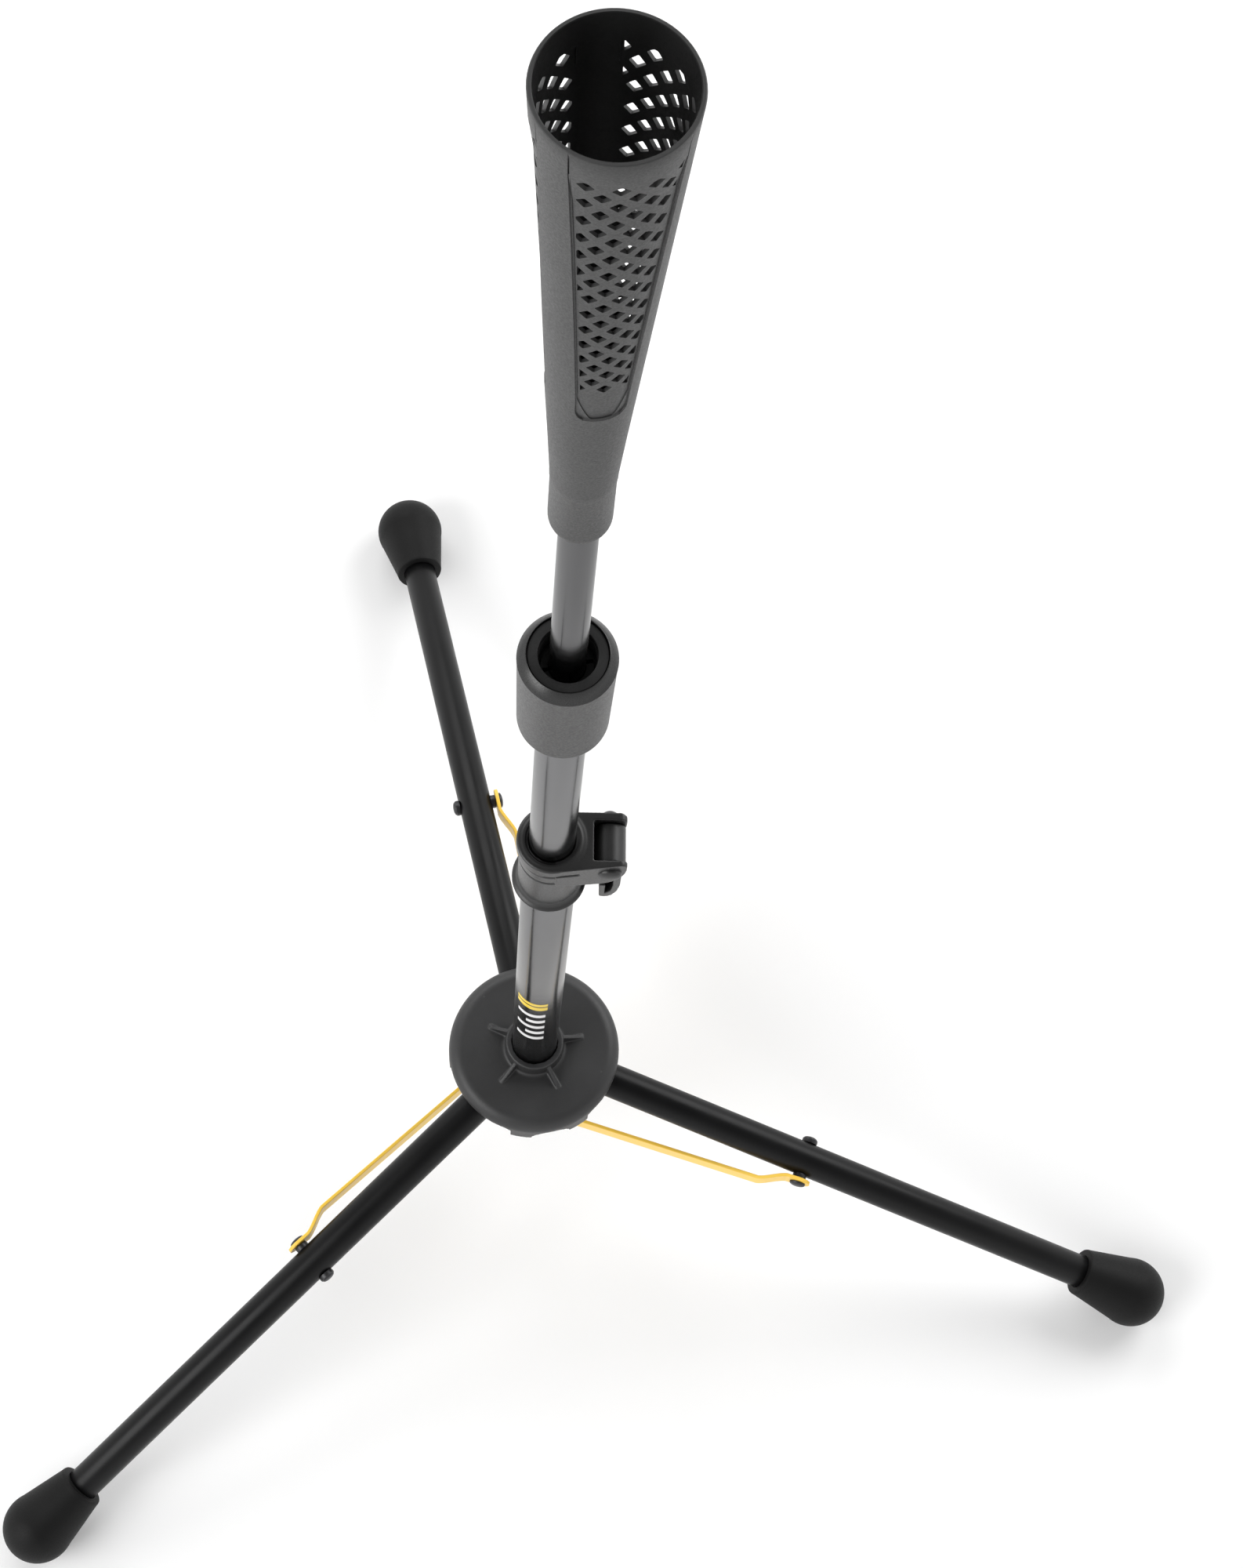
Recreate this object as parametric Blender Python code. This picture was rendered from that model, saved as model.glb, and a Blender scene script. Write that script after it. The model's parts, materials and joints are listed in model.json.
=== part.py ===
"""Telescoping batting tee on a folding tripod: three tubes, cam clamp, twist collar and mesh ball cup.

Metres, +Z up.  The origin is the pole axis on the floor.  Leg 1 points along +Y, and the legs are
numbered clockwise from above.  Every sub-part is one closed solid in one named object.
"""
import bpy
import bmesh
from math import asin, atan2, cos, hypot, pi, radians, sin, sqrt
from mathutils import Matrix, Vector

MM = 0.001
GAP = 0.3 * MM                      # clearance between touching pieces

# ---- driving dimensions ------------------------------------------------------------------------
TUBE_WALL = 1.2 * MM
LOWER_RADIUS = 12.7 * MM            # one-inch lower pole tube
MIDDLE_RADIUS = 10.4 * MM
UPPER_RADIUS = 7.1 * MM
LEG_RADIUS = 9.8 * MM

LEG_AZIMUTHS = (90, -30, 210)       # degrees
FOOT_REACH = 382 * MM               # pole axis to foot centre
FOOT_RADIUS = 20.5 * MM
FOOT_CENTRE_HEIGHT = 19.6 * MM      # a little less than the radius, which leaves a flat sole
APEX_HEIGHT = 147 * MM              # where the leg axes would meet the pole axis
PIVOT_REACH = 28 * MM               # pole axis to leg hinge
BOLT_REACH = 168 * MM               # pole axis to strut bolt
STRUT_OFFSET = 20 * MM              # strut plane beside its leg
STRUT_INNER_REACH = 29 * MM
STRUT_HALF_HEIGHT = 7 * MM
RUNNER_HEIGHT = 88 * MM             # strut rivets above the floor

HUB_TOP = 153 * MM
HUB_RADIUS = 48.6 * MM
HUB_FACE_RADIUS = 41 * MM
HUB_RING_RADIUS = 16.3 * MM
HUB_RING_TOP = 165 * MM
HUB_WALL = 3 * MM
SKIRT_BOTTOM = 145 * MM
TAB_BOTTOM = 132 * MM
SKIRT_HALF_WIDTH = 25.8 * MM        # of the cut between two tabs
RIB_COUNT = 5
RIB_START = 0                       # degrees
RIB_REACH = 28 * MM
CORE_BOTTOM = 132.7 * MM
CORE_RADIUS = 17 * MM
CHEEK_INNER = 4.3 * MM
CHEEK_OUTER = 9 * MM
CHEEK_REACH = 37 * MM
SCREW_REACH = 34.2 * MM
SCREW_RADIUS = 1.2 * MM
POST_BOTTOM = 72 * MM

CLAMP_AZIMUTH = -12.6               # degrees, the way the clamp's ears point
CLAMP_BOTTOM = 489 * MM
CLAMP_TOP = 548 * MM
SLEEVE_RADIUS = 14.6 * MM
WEB_REACH = 18.7 * MM               # pole axis to the face behind the cam
EAR_INNER = 9.4 * MM
EAR_OUTER = 13 * MM
EAR_BOTTOM = 522 * MM
EAR_REACH = 33.8 * MM
CAM_REACH = 26.2 * MM
CAM_HEIGHT = 537.5 * MM
CAM_RADIUS = 7.2 * MM
CLAMP_PIN_RADIUS = 2.2 * MM
LEVER_TIP = 489 * MM
LINER_BOTTOM = 500 * MM
LINER_TOP = 544 * MM

MIDDLE_BOTTOM = 385 * MM
MIDDLE_TOP = 735 * MM
COLLAR_BOTTOM = 709 * MM
COLLAR_TOP = 779 * MM
COLLAR_RADIUS = 19.3 * MM
COLLAR_SEAT_RADIUS = 15.7 * MM
COLLAR_HOLE_RADIUS = 11.15 * MM
SOCKET_RADIUS = 14.4 * MM
SOCKET_TOP = 762 * MM
COLLET_TOP = 766 * MM
BUSH_LENGTH = 16 * MM
UPPER_BOTTOM = 590 * MM
UPPER_TOP = 960 * MM

CUP_BOTTOM = 905 * MM
CUP_SHOULDER = 943 * MM
CUP_RIM = 1174 * MM
CUP_SOCKET_RADIUS = 11 * MM
CUP_RIM_RADIUS = 22.75 * MM
CUP_WALL = 1.8 * MM
WINDOW_AZIMUTHS = (-90, 30, 150)    # degrees
WINDOW_HALF_ANGLE = radians(43.4)      # at the top of a window
WINDOW_FOOT_HALF_ANGLE = radians(32)   # at its shoulder
WINDOW_TOP = 1163 * MM
WINDOW_SHOULDER = 1024 * MM
WINDOW_BOTTOM = 1011 * MM
WINDOW_TIP_SHARE = 0.42             # width of the window's foot as a share of its shoulder
WINDOW_RECESS = 0.7 * MM

PIN_RADIUS = 2.0 * MM
BOLT_RADIUS = 2.5 * MM
HOLE_CLEARANCE = 0.3 * MM
BUSH_GAP = 0.2 * MM

SEGMENTS = 24
SMALL_SEGMENTS = 12

# ---- derived dimensions ------------------------------------------------------------------------
LEG_SLOPE = atan2(APEX_HEIGHT - FOOT_CENTRE_HEIGHT, FOOT_REACH)
PIVOT_HEIGHT = APEX_HEIGHT - PIVOT_REACH * (APEX_HEIGHT - FOOT_CENTRE_HEIGHT) / FOOT_REACH
LEG_LENGTH = (FOOT_REACH - PIVOT_REACH) / cos(LEG_SLOPE)        # hinge to foot centre
BOLT_STATION = (BOLT_REACH - PIVOT_REACH) / cos(LEG_SLOPE)      # hinge to strut bolt
BOLT_HEIGHT = PIVOT_HEIGHT - BOLT_STATION * sin(LEG_SLOPE)
CUP_TAPER = (CUP_RIM_RADIUS - CUP_SOCKET_RADIUS) / (CUP_RIM - CUP_SHOULDER)


# ---- scene and materials -----------------------------------------------------------------------
def clear_scene():
    for item in list(bpy.data.objects):
        bpy.data.objects.remove(item, do_unlink=True)


def material(name, colour, roughness, metallic=0.0):
    """A Principled material, made once and then shared by name."""
    made = bpy.data.materials.get(name)
    if made is None:
        made = bpy.data.materials.new(name)
        made.use_nodes = True
        shader = made.node_tree.nodes["Principled BSDF"]
        shader.inputs["Base Color"].default_value = (*colour, 1)
        shader.inputs["Roughness"].default_value = roughness
        shader.inputs["Metallic"].default_value = metallic
    return made


def aluminium():
    return material("gunmetal_aluminium", (0.30, 0.30, 0.31), 0.32, 0.9)


def leg_paint():
    return material("black_powder_coat", (0.012, 0.012, 0.013), 0.3)


def moulded_nylon():
    return material("black_moulded_nylon", (0.035, 0.035, 0.036), 0.5)


def soft_rubber():
    return material("black_rubber", (0.022, 0.022, 0.022), 0.7)


def cup_rubber():
    return material("charcoal_cup_rubber", (0.045, 0.045, 0.045), 0.75)


def yellow_paint():
    return material("yellow_paint", (0.85, 0.55, 0.03), 0.4)


def black_steel():
    return material("blackened_steel", (0.03, 0.03, 0.032), 0.35, 0.8)


# ---- mesh helpers ------------------------------------------------------------------------------
def add_object(name, mesh, finish, matrix=Matrix.Identity(4), crease=30):
    """Link a mesh as an object, smooth where its faces meet at less than the crease angle."""
    mesh.shade_smooth()
    mesh.set_sharp_from_angle(angle=radians(crease))
    item = bpy.data.objects.new(name, mesh)
    bpy.context.scene.collection.objects.link(item)
    item.data.materials.append(finish)
    item.matrix_world = matrix
    return item


def closed_mesh(name, shape):
    """Turn a bmesh into a mesh with its faces pointing out."""
    bmesh.ops.recalc_face_normals(shape, faces=shape.faces[:])
    mesh = bpy.data.meshes.new(name)
    shape.to_mesh(mesh)
    shape.free()
    return mesh


def turned(name, profile, segments=SEGMENTS):
    """Revolve a closed outline of (radius, height) points about Z."""
    shape = bmesh.new()
    rings = []
    for radius, height in profile:
        if radius == 0:
            rings.append([shape.verts.new((0, 0, height))])
        else:
            rings.append([shape.verts.new((radius * cos(2 * pi * k / segments),
                                           radius * sin(2 * pi * k / segments), height))
                          for k in range(segments)])
    for ring, after in zip(rings, rings[1:] + rings[:1]):
        for k in range(segments):
            corners = [ring[k % len(ring)], ring[(k + 1) % len(ring)],
                       after[(k + 1) % len(after)], after[k % len(after)]]
            corners = list(dict.fromkeys(corners))
            if len(corners) > 2:
                shape.faces.new(corners)
    return closed_mesh(name, shape)


def prism(name, outline, bottom, top):
    """Extrude a closed outline of (x, y) points along Z."""
    shape = bmesh.new()
    lower = [shape.verts.new((x, y, bottom)) for x, y in outline]
    upper = [shape.verts.new((x, y, top)) for x, y in outline]
    shape.faces.new(lower)
    shape.faces.new(upper)
    for k in range(len(outline)):
        after = (k + 1) % len(outline)
        shape.faces.new((lower[k], lower[after], upper[after], upper[k]))
    return closed_mesh(name, shape)


def block(name, low, high):
    """A box between two corners."""
    outline = [(low[0], low[1]), (high[0], low[1]), (high[0], high[1]), (low[0], high[1])]
    return prism(name, outline, low[2], high[2])


def arc(centre, radius, start, end, steps):
    """Points (x, y) on an arc, angles in degrees, both ends included."""
    angles = [radians(start + (end - start) * k / steps) for k in range(steps + 1)]
    return [(centre[0] + radius * cos(a), centre[1] + radius * sin(a)) for a in angles]


def tube_profile(outer, inner, bottom, top):
    return [(inner, bottom), (outer, bottom), (outer, top), (inner, top)]


def rod_profile(radius, bottom, top):
    return [(0, bottom), (radius, bottom), (radius, top), (0, top)]


def boolean(item, mesh, matrix, operation):
    """Cut with, or join, a helper mesh placed by a matrix; the helper stays as a hidden guide."""
    helper = bpy.data.objects.new(item.name + "_cutter", mesh)
    bpy.context.scene.collection.objects.link(helper)
    helper.matrix_world = matrix
    helper.hide_render = True
    helper.display_type = "WIRE"
    step = item.modifiers.new("boolean", "BOOLEAN")
    step.operation = operation
    step.solver = "EXACT"
    step.object = helper


def cut(item, mesh, matrix=Matrix.Identity(4)):
    boolean(item, mesh, matrix, "DIFFERENCE")


def join(item, mesh, matrix=Matrix.Identity(4)):
    boolean(item, mesh, matrix, "UNION")


# ---- local frames ------------------------------------------------------------------------------
ALONG_X = Matrix.Rotation(pi / 2, 4, "Y")        # turns a piece made about Z so that it lies along X
ALONG_Y = Matrix.Rotation(-pi / 2, 4, "X")       # turns a piece made about Z so that it lies along Y


def around(azimuth):
    """Radial frame: X outwards at the azimuth, Z up."""
    return Matrix.Rotation(radians(azimuth), 4, "Z")


def leg_frame(azimuth):
    """Origin on the leg hinge, X down the leg, Y along the hinge axis."""
    place = Matrix.Translation((PIVOT_REACH, 0, PIVOT_HEIGHT))
    return around(azimuth) @ place @ Matrix.Rotation(LEG_SLOPE, 4, "Y")


# ---- hub ---------------------------------------------------------------------------------------
def make_hub_cap():
    """Round cap with a rolled edge, a skirt that hides the leg hinges, a pole ring and gussets."""
    edge = HUB_RADIUS - HUB_FACE_RADIUS
    edge_centre = (HUB_FACE_RADIUS, HUB_TOP - edge)
    hole = LOWER_RADIUS + GAP
    outer = [(r, z) for r, z in arc(edge_centre, edge, 0, 90, 4)]
    ring = [(HUB_RING_RADIUS, HUB_TOP), (HUB_RING_RADIUS, HUB_RING_TOP), (hole, HUB_RING_TOP)]
    inner = [(r, z) for r, z in arc(edge_centre, edge - HUB_WALL, 90, 0, 2)]
    profile = [(HUB_RADIUS, TAB_BOTTOM)] + outer + ring + [(hole, HUB_TOP - HUB_WALL)] + inner
    profile.append((HUB_RADIUS - HUB_WALL, TAB_BOTTOM))
    cap = add_object("hub_cap", turned("hub_cap", profile, 48), moulded_nylon())
    for k in range(RIB_COUNT):
        root = HUB_RING_RADIUS - 1.5 * MM
        outline = [(root, HUB_TOP - 1 * MM), (RIB_REACH, HUB_TOP - 1 * MM),
                   (RIB_REACH, HUB_TOP + 0.8 * MM), (root, HUB_RING_TOP - 2 * MM)]
        upright = Matrix.Rotation(pi / 2, 4, "X")
        join(cap, prism("rib", outline, -1 * MM, 1 * MM), around(RIB_START + 360 / RIB_COUNT * k) @ upright)
    for azimuth in LEG_AZIMUTHS:
        slot_top = HUB_TOP - 10 * MM
        slot = block("slot", (35 * MM, -11 * MM, 100 * MM), (70 * MM, 11 * MM, slot_top))
        cut(cap, slot, around(azimuth))
        arch = block("arch", (10 * MM, -SKIRT_HALF_WIDTH, 100 * MM),
                     (70 * MM, SKIRT_HALF_WIDTH, SKIRT_BOTTOM))
        cut(cap, arch, around(azimuth + 60))
    return cap


def make_hub_core():
    """Bracket under the cap: a boss round the tube with a pair of cheeks for each leg."""
    root = sqrt(CORE_RADIUS ** 2 - CHEEK_OUTER ** 2)
    slot_root = CORE_RADIUS + 1 * MM
    outline = []
    for azimuth in sorted(LEG_AZIMUTHS):
        local = [(root, -CHEEK_OUTER), (CHEEK_REACH, -CHEEK_OUTER), (CHEEK_REACH, -CHEEK_INNER),
                 (slot_root, -CHEEK_INNER), (slot_root, CHEEK_INNER), (CHEEK_REACH, CHEEK_INNER),
                 (CHEEK_REACH, CHEEK_OUTER), (root, CHEEK_OUTER)]
        turn = around(azimuth)
        outline += [tuple((turn @ Vector((x, y, 0))).xy) for x, y in local]
    top = HUB_TOP - HUB_WALL - GAP
    core = add_object("hub_core", prism("hub_core", outline, CORE_BOTTOM, top), moulded_nylon())
    bore = turned("bore", rod_profile(LOWER_RADIUS + GAP, CORE_BOTTOM - 10 * MM, HUB_TOP))
    cut(core, bore)
    for azimuth in LEG_AZIMUTHS:
        place = around(azimuth) @ Matrix.Translation((PIVOT_REACH, 0, PIVOT_HEIGHT)) @ ALONG_Y
        hole = turned("hole", rod_profile(PIN_RADIUS + HOLE_CLEARANCE, -20 * MM, 20 * MM), SMALL_SEGMENTS)
        cut(core, hole, place)
        screw_hole = rod_profile(SCREW_RADIUS + HOLE_CLEARANCE, -5 * MM, 14 * MM)
        cut(core, turned("screw_hole", screw_hole, SMALL_SEGMENTS), screw_place(azimuth))
    return core


def screw_place(azimuth):
    """Frame of a bracket screw: on the underside of one cheek, outboard of the hinge pin."""
    return around(azimuth) @ Matrix.Translation((SCREW_REACH, (CHEEK_INNER + CHEEK_OUTER) / 2, CORE_BOTTOM))


def make_hub_screws():
    """Screws that hold the bracket up against the cap, from below."""
    profile = [(0, -1.5 * MM), (1.8 * MM, -1.5 * MM), (2.2 * MM, -GAP), (SCREW_RADIUS, -GAP),
               (SCREW_RADIUS, 12 * MM), (0, 12 * MM)]
    for k, azimuth in enumerate(LEG_AZIMUTHS, 1):
        mesh = turned("hub_screw", profile, SMALL_SEGMENTS)
        add_object(f"hub_screw_{k}", mesh, black_steel(), screw_place(azimuth))


def make_runner():
    """Sliding ring with three tangent arms that carry the inner ends of the struts."""
    ring_top = RUNNER_HEIGHT + 1 * MM
    ring_bottom = RUNNER_HEIGHT - 9 * MM
    profile = tube_profile(16.5 * MM, LOWER_RADIUS + GAP, ring_bottom, ring_top)
    runner = add_object("strut_runner", turned("strut_runner", profile), moulded_nylon())
    face = STRUT_OFFSET - 1.3 * MM
    for azimuth in LEG_AZIMUTHS:
        end = arc((STRUT_INNER_REACH, 0), 3.9 * MM, -90, 90, 6)
        outline = [(0, -3.9 * MM)] + end + [(0, 3.9 * MM)]
        upright = Matrix.Translation((0, 0, RUNNER_HEIGHT - 0.5 * MM)) @ Matrix.Rotation(pi / 2, 4, "X")
        arm = prism("arm", outline, face - 4 * MM, face)
        join(runner, arm, around(azimuth) @ upright)
    return runner


def make_post_cap():
    """Plug that closes the lower end of the pole and stops the runner."""
    flange = POST_BOTTOM - GAP
    profile = [(0, flange - 3 * MM), (13.5 * MM, flange - 3 * MM), (14.8 * MM, flange - 1.8 * MM),
               (14.8 * MM, flange), (11.2 * MM, flange), (11.2 * MM, flange + 12 * MM), (0, flange + 12 * MM)]
    add_object("post_cap", turned("post_cap", profile), moulded_nylon())


# ---- legs --------------------------------------------------------------------------------------
def make_leg(k, azimuth):
    """Leg tube with its hinge plug, hinge pin and rubber foot."""
    frame = leg_frame(azimuth)
    tube_start = 14 * MM
    tube_end = LEG_LENGTH - 12 * MM
    profile = tube_profile(LEG_RADIUS, LEG_RADIUS - TUBE_WALL, tube_start, tube_end)
    tube = add_object(f"leg_tube_{k}", turned("leg_tube", profile), leg_paint(), frame @ ALONG_X)
    hole = turned("hole", rod_profile(BOLT_RADIUS + HOLE_CLEARANCE, -20 * MM, 20 * MM), SMALL_SEGMENTS)
    cut(tube, hole, frame @ Matrix.Translation((BOLT_STATION, 0, 0)) @ ALONG_Y)

    tongue = arc((0, 0), 6.3 * MM, 270, 90, 8) + [(17 * MM, 6.3 * MM), (17 * MM, -6.3 * MM)]
    upright = Matrix.Rotation(pi / 2, 4, "X")
    hinge = add_object(f"leg_hinge_{k}", prism("leg_hinge", tongue, -4 * MM, 4 * MM),
                       moulded_nylon(), frame @ upright)
    plug_radius = LEG_RADIUS - TUBE_WALL - GAP
    plug = [(0, 13.2 * MM), (LEG_RADIUS - 0.4 * MM, 13.2 * MM), (LEG_RADIUS - 0.4 * MM, 13.7 * MM),
            (plug_radius, 13.7 * MM), (plug_radius, 40 * MM), (0, 40 * MM)]
    join(hinge, turned("plug", plug), frame @ ALONG_X)
    pin_hole = turned("hole", rod_profile(PIN_RADIUS + HOLE_CLEARANCE, -10 * MM, 10 * MM), SMALL_SEGMENTS)
    cut(hinge, pin_hole, frame @ ALONG_Y)

    head = [(0, -12.2 * MM), (2.6 * MM, -11.8 * MM), (3.6 * MM, -10.8 * MM), (3.6 * MM, -9.3 * MM)]
    tail = [(PIN_RADIUS, -9.3 * MM), (PIN_RADIUS, 10.2 * MM), (0, 10.2 * MM)]
    pin = turned("leg_pin", head + tail, SMALL_SEGMENTS)
    add_object(f"leg_pin_{k}", pin, black_steel(), frame @ ALONG_Y)
    make_foot(k, frame)


def make_foot(k, frame):
    """Rubber tip: a cone that opens from a lip into a ball with a flat sole."""
    lip = 14.2 * MM
    lip_station = -36 * MM
    bore = LEG_RADIUS + GAP
    blend = radians(108)            # where the cone meets the ball
    ball = [(FOOT_RADIUS * sin(a), FOOT_RADIUS * cos(a)) for a in [blend * (1 - n / 7) for n in range(7)]]
    profile = [(bore, lip_station), (lip - 0.8 * MM, lip_station), (lip, lip_station + 0.8 * MM),
               (lip, lip_station + 4 * MM), (lip + 0.7 * MM, lip_station + 4.8 * MM)]
    profile += ball + [(0, FOOT_RADIUS), (0, -11.5 * MM), (bore, -11.5 * MM)]
    foot = add_object(f"foot_{k}", turned("foot", profile), soft_rubber(),
                      frame @ Matrix.Translation((LEG_LENGTH, 0, 0)) @ ALONG_X)
    floor = block("floor", (FOOT_REACH - 50 * MM, -50 * MM, -20 * MM), (FOOT_REACH + 50 * MM, 50 * MM, 0))
    cut(foot, floor, around(LEG_AZIMUTHS[k - 1]))


# ---- struts ------------------------------------------------------------------------------------
def strut_stations(length):
    """Plan points (x, y, half height) of the flat bar, from the bolt end to the runner end."""
    half = STRUT_HALF_HEIGHT
    side = -LEG_RADIUS - 3.7 * MM
    rounds = [radians(a) for a in (12, 35, 60, 90)]
    outer = [(half * cos(a), side, half * sin(a)) for a in rounds]
    jog = [(-half, side, half), (-half - 16 * MM, -STRUT_OFFSET, half)]
    inner = [(-length - half * cos(a), -STRUT_OFFSET, half * sin(a)) for a in reversed(rounds)]
    return outer + jog + inner


def ribbon(name, stations, thickness):
    """Flat bar standing on edge along plan points, each with its own half height."""
    shape = bmesh.new()
    rings = []
    for k, (x, y, half) in enumerate(stations):
        before, after = stations[max(k - 1, 0)], stations[min(k + 1, len(stations) - 1)]
        run = Vector((after[0] - before[0], after[1] - before[1]))
        normal = Vector((-run.y, run.x)).normalized() * thickness / 2
        corners = ((1, half), (1, -half), (-1, -half), (-1, half))
        rings.append([shape.verts.new((x + s * normal.x, y + s * normal.y, z)) for s, z in corners])
    for ring, after in zip(rings, rings[1:]):
        for k in range(4):
            shape.faces.new((ring[k], ring[(k + 1) % 4], after[(k + 1) % 4], after[k]))
    shape.faces.new(rings[0])
    shape.faces.new(rings[-1])
    return closed_mesh(name, shape)


def make_strut(k, azimuth):
    """Flat spreader bar between the leg bolt and the runner, with its fasteners."""
    drop = BOLT_HEIGHT - RUNNER_HEIGHT
    run = BOLT_REACH - STRUT_INNER_REACH
    length = hypot(run, drop)
    bolt_place = around(azimuth) @ Matrix.Translation((BOLT_REACH, 0, BOLT_HEIGHT))
    frame = bolt_place @ Matrix.Rotation(-asin(drop / length), 4, "Y")
    strut = add_object(f"strut_{k}", ribbon("strut", strut_stations(length), 2 * MM), yellow_paint(), frame)
    bolt_hole = turned("hole", rod_profile(BOLT_RADIUS + HOLE_CLEARANCE, -30 * MM, 0), SMALL_SEGMENTS)
    cut(strut, bolt_hole, bolt_place @ ALONG_Y)
    rivet_place = around(azimuth) @ Matrix.Translation((STRUT_INNER_REACH, 0, RUNNER_HEIGHT))
    rivet_hole = turned("hole", rod_profile(PIN_RADIUS + HOLE_CLEARANCE, -30 * MM, 0), SMALL_SEGMENTS)
    cut(strut, rivet_hole, rivet_place @ ALONG_Y)

    outside = LEG_RADIUS + 4.7 * MM + GAP
    nut_start = LEG_RADIUS + GAP
    bolt = [(0, -outside - 2.2 * MM), (2.8 * MM, -outside - 1.9 * MM), (4.3 * MM, -outside - 1.1 * MM),
            (4.7 * MM, -outside - 0.4 * MM), (4.7 * MM, -outside), (BOLT_RADIUS, -outside),
            (BOLT_RADIUS, nut_start + 2.1 * MM), (0, nut_start + 2.1 * MM)]
    add_object(f"strut_bolt_{k}", turned("strut_bolt", bolt, SMALL_SEGMENTS), black_steel(),
               bolt_place @ ALONG_Y)
    bore = BOLT_RADIUS + HOLE_CLEARANCE
    spacer = tube_profile(4 * MM, bore, -LEG_RADIUS - 2.4 * MM, -LEG_RADIUS - GAP)
    add_object(f"strut_spacer_{k}", turned("strut_spacer", spacer, SMALL_SEGMENTS), black_steel(),
               bolt_place @ ALONG_Y)
    nut = [(bore, nut_start), (4.6 * MM, nut_start), (4.6 * MM, nut_start + 2.2 * MM),
           (3.4 * MM, nut_start + 3.4 * MM), (1.6 * MM, nut_start + 4 * MM), (0, nut_start + 4.1 * MM),
           (0, nut_start + 2.4 * MM), (bore, nut_start + 2.4 * MM)]
    add_object(f"strut_nut_{k}", turned("strut_nut", nut, SMALL_SEGMENTS), black_steel(),
               bolt_place @ ALONG_Y)
    face = STRUT_OFFSET + 1 * MM + GAP
    rivet = [(0, -face - 1.8 * MM), (2.4 * MM, -face - 1.4 * MM), (3.6 * MM, -face), (PIN_RADIUS, -face),
             (PIN_RADIUS, 1 * MM - STRUT_OFFSET), (0, 1 * MM - STRUT_OFFSET)]
    add_object(f"runner_rivet_{k}", turned("runner_rivet", rivet, SMALL_SEGMENTS), black_steel(),
               rivet_place @ ALONG_Y)


# ---- pole --------------------------------------------------------------------------------------
def make_tube(name, radius, bottom, top):
    profile = tube_profile(radius, radius - TUBE_WALL, bottom, top)
    return add_object(name, turned(name, profile, 32), aluminium())


def make_bush(name, inner, outer, bottom, top):
    """Plastic bush that runs between a tube's outer radius and the next tube's bore."""
    profile = tube_profile(outer - BUSH_GAP, inner + BUSH_GAP, bottom, top)
    add_object(name, turned(name, profile), moulded_nylon())


def make_clamp():
    """Sleeve on the top of the lower tube, with two ears that hold the cam lever."""
    bore = LOWER_RADIUS + GAP
    lip_bore = MIDDLE_RADIUS + GAP
    profile = [(bore, CLAMP_BOTTOM), (16.7 * MM, CLAMP_BOTTOM), (17.3 * MM, CLAMP_BOTTOM + 1 * MM),
               (16.8 * MM, CLAMP_BOTTOM + 3 * MM), (SLEEVE_RADIUS, CLAMP_BOTTOM + 5 * MM),
               (SLEEVE_RADIUS, CLAMP_TOP - 12 * MM), (15.8 * MM, CLAMP_TOP - 10 * MM),
               (15.8 * MM, CLAMP_TOP - 1 * MM), (15 * MM, CLAMP_TOP), (lip_bore, CLAMP_TOP),
               (lip_bore, CLAMP_TOP - 2.7 * MM), (bore, CLAMP_TOP - 2.7 * MM)]
    turn = around(CLAMP_AZIMUTH)
    body = add_object("clamp_body", turned("clamp_body", profile, 32), moulded_nylon(), turn)
    root = 11.4 * MM
    bend = 6 * MM
    top = CLAMP_TOP - 0.4 * MM
    end_x = EAR_REACH - bend
    outline = [(root, EAR_BOTTOM)] + arc((end_x, EAR_BOTTOM + bend), bend, -90, 0, 5)
    outline += arc((end_x, top - bend), bend, 0, 90, 5) + [(root, top)]
    upright = turn @ Matrix.Rotation(pi / 2, 4, "X")
    for low, high in ((-EAR_OUTER, -EAR_INNER), (EAR_INNER, EAR_OUTER)):
        join(body, prism("ear", outline, low, high), upright)
    web_half = EAR_INNER + 1.5 * MM
    web = block("web", (13.4 * MM, -web_half, EAR_BOTTOM + 2 * MM), (WEB_REACH, web_half, top - 0.6 * MM))
    join(body, web, turn)
    hole = turned("hole", rod_profile(CLAMP_PIN_RADIUS + HOLE_CLEARANCE, -20 * MM, 20 * MM), SMALL_SEGMENTS)
    place = turn @ Matrix.Translation((CAM_REACH, 0, CAM_HEIGHT)) @ ALONG_Y
    cut(body, hole, place)

    make_lever(place, upright)
    head = -EAR_OUTER - GAP
    pin = [(0, head - 2.4 * MM), (2.6 * MM, head - 2.1 * MM), (4.5 * MM, head - 1.2 * MM), (5.4 * MM, head),
           (CLAMP_PIN_RADIUS, head), (CLAMP_PIN_RADIUS, EAR_OUTER + 2 * MM), (0, EAR_OUTER + 2 * MM)]
    add_object("clamp_pin", turned("clamp_pin", pin, SMALL_SEGMENTS), black_steel(), place)
    start = EAR_OUTER + GAP
    cap = [(2.5 * MM, start), (4.4 * MM, start), (4.2 * MM, start + 1.4 * MM), (3 * MM, start + 2.8 * MM),
           (0, start + 3.4 * MM), (0, start + 2.2 * MM), (2.5 * MM, start + 2.2 * MM)]
    add_object("clamp_pin_cap", turned("clamp_pin_cap", cap, SMALL_SEGMENTS), black_steel(), place)


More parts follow.
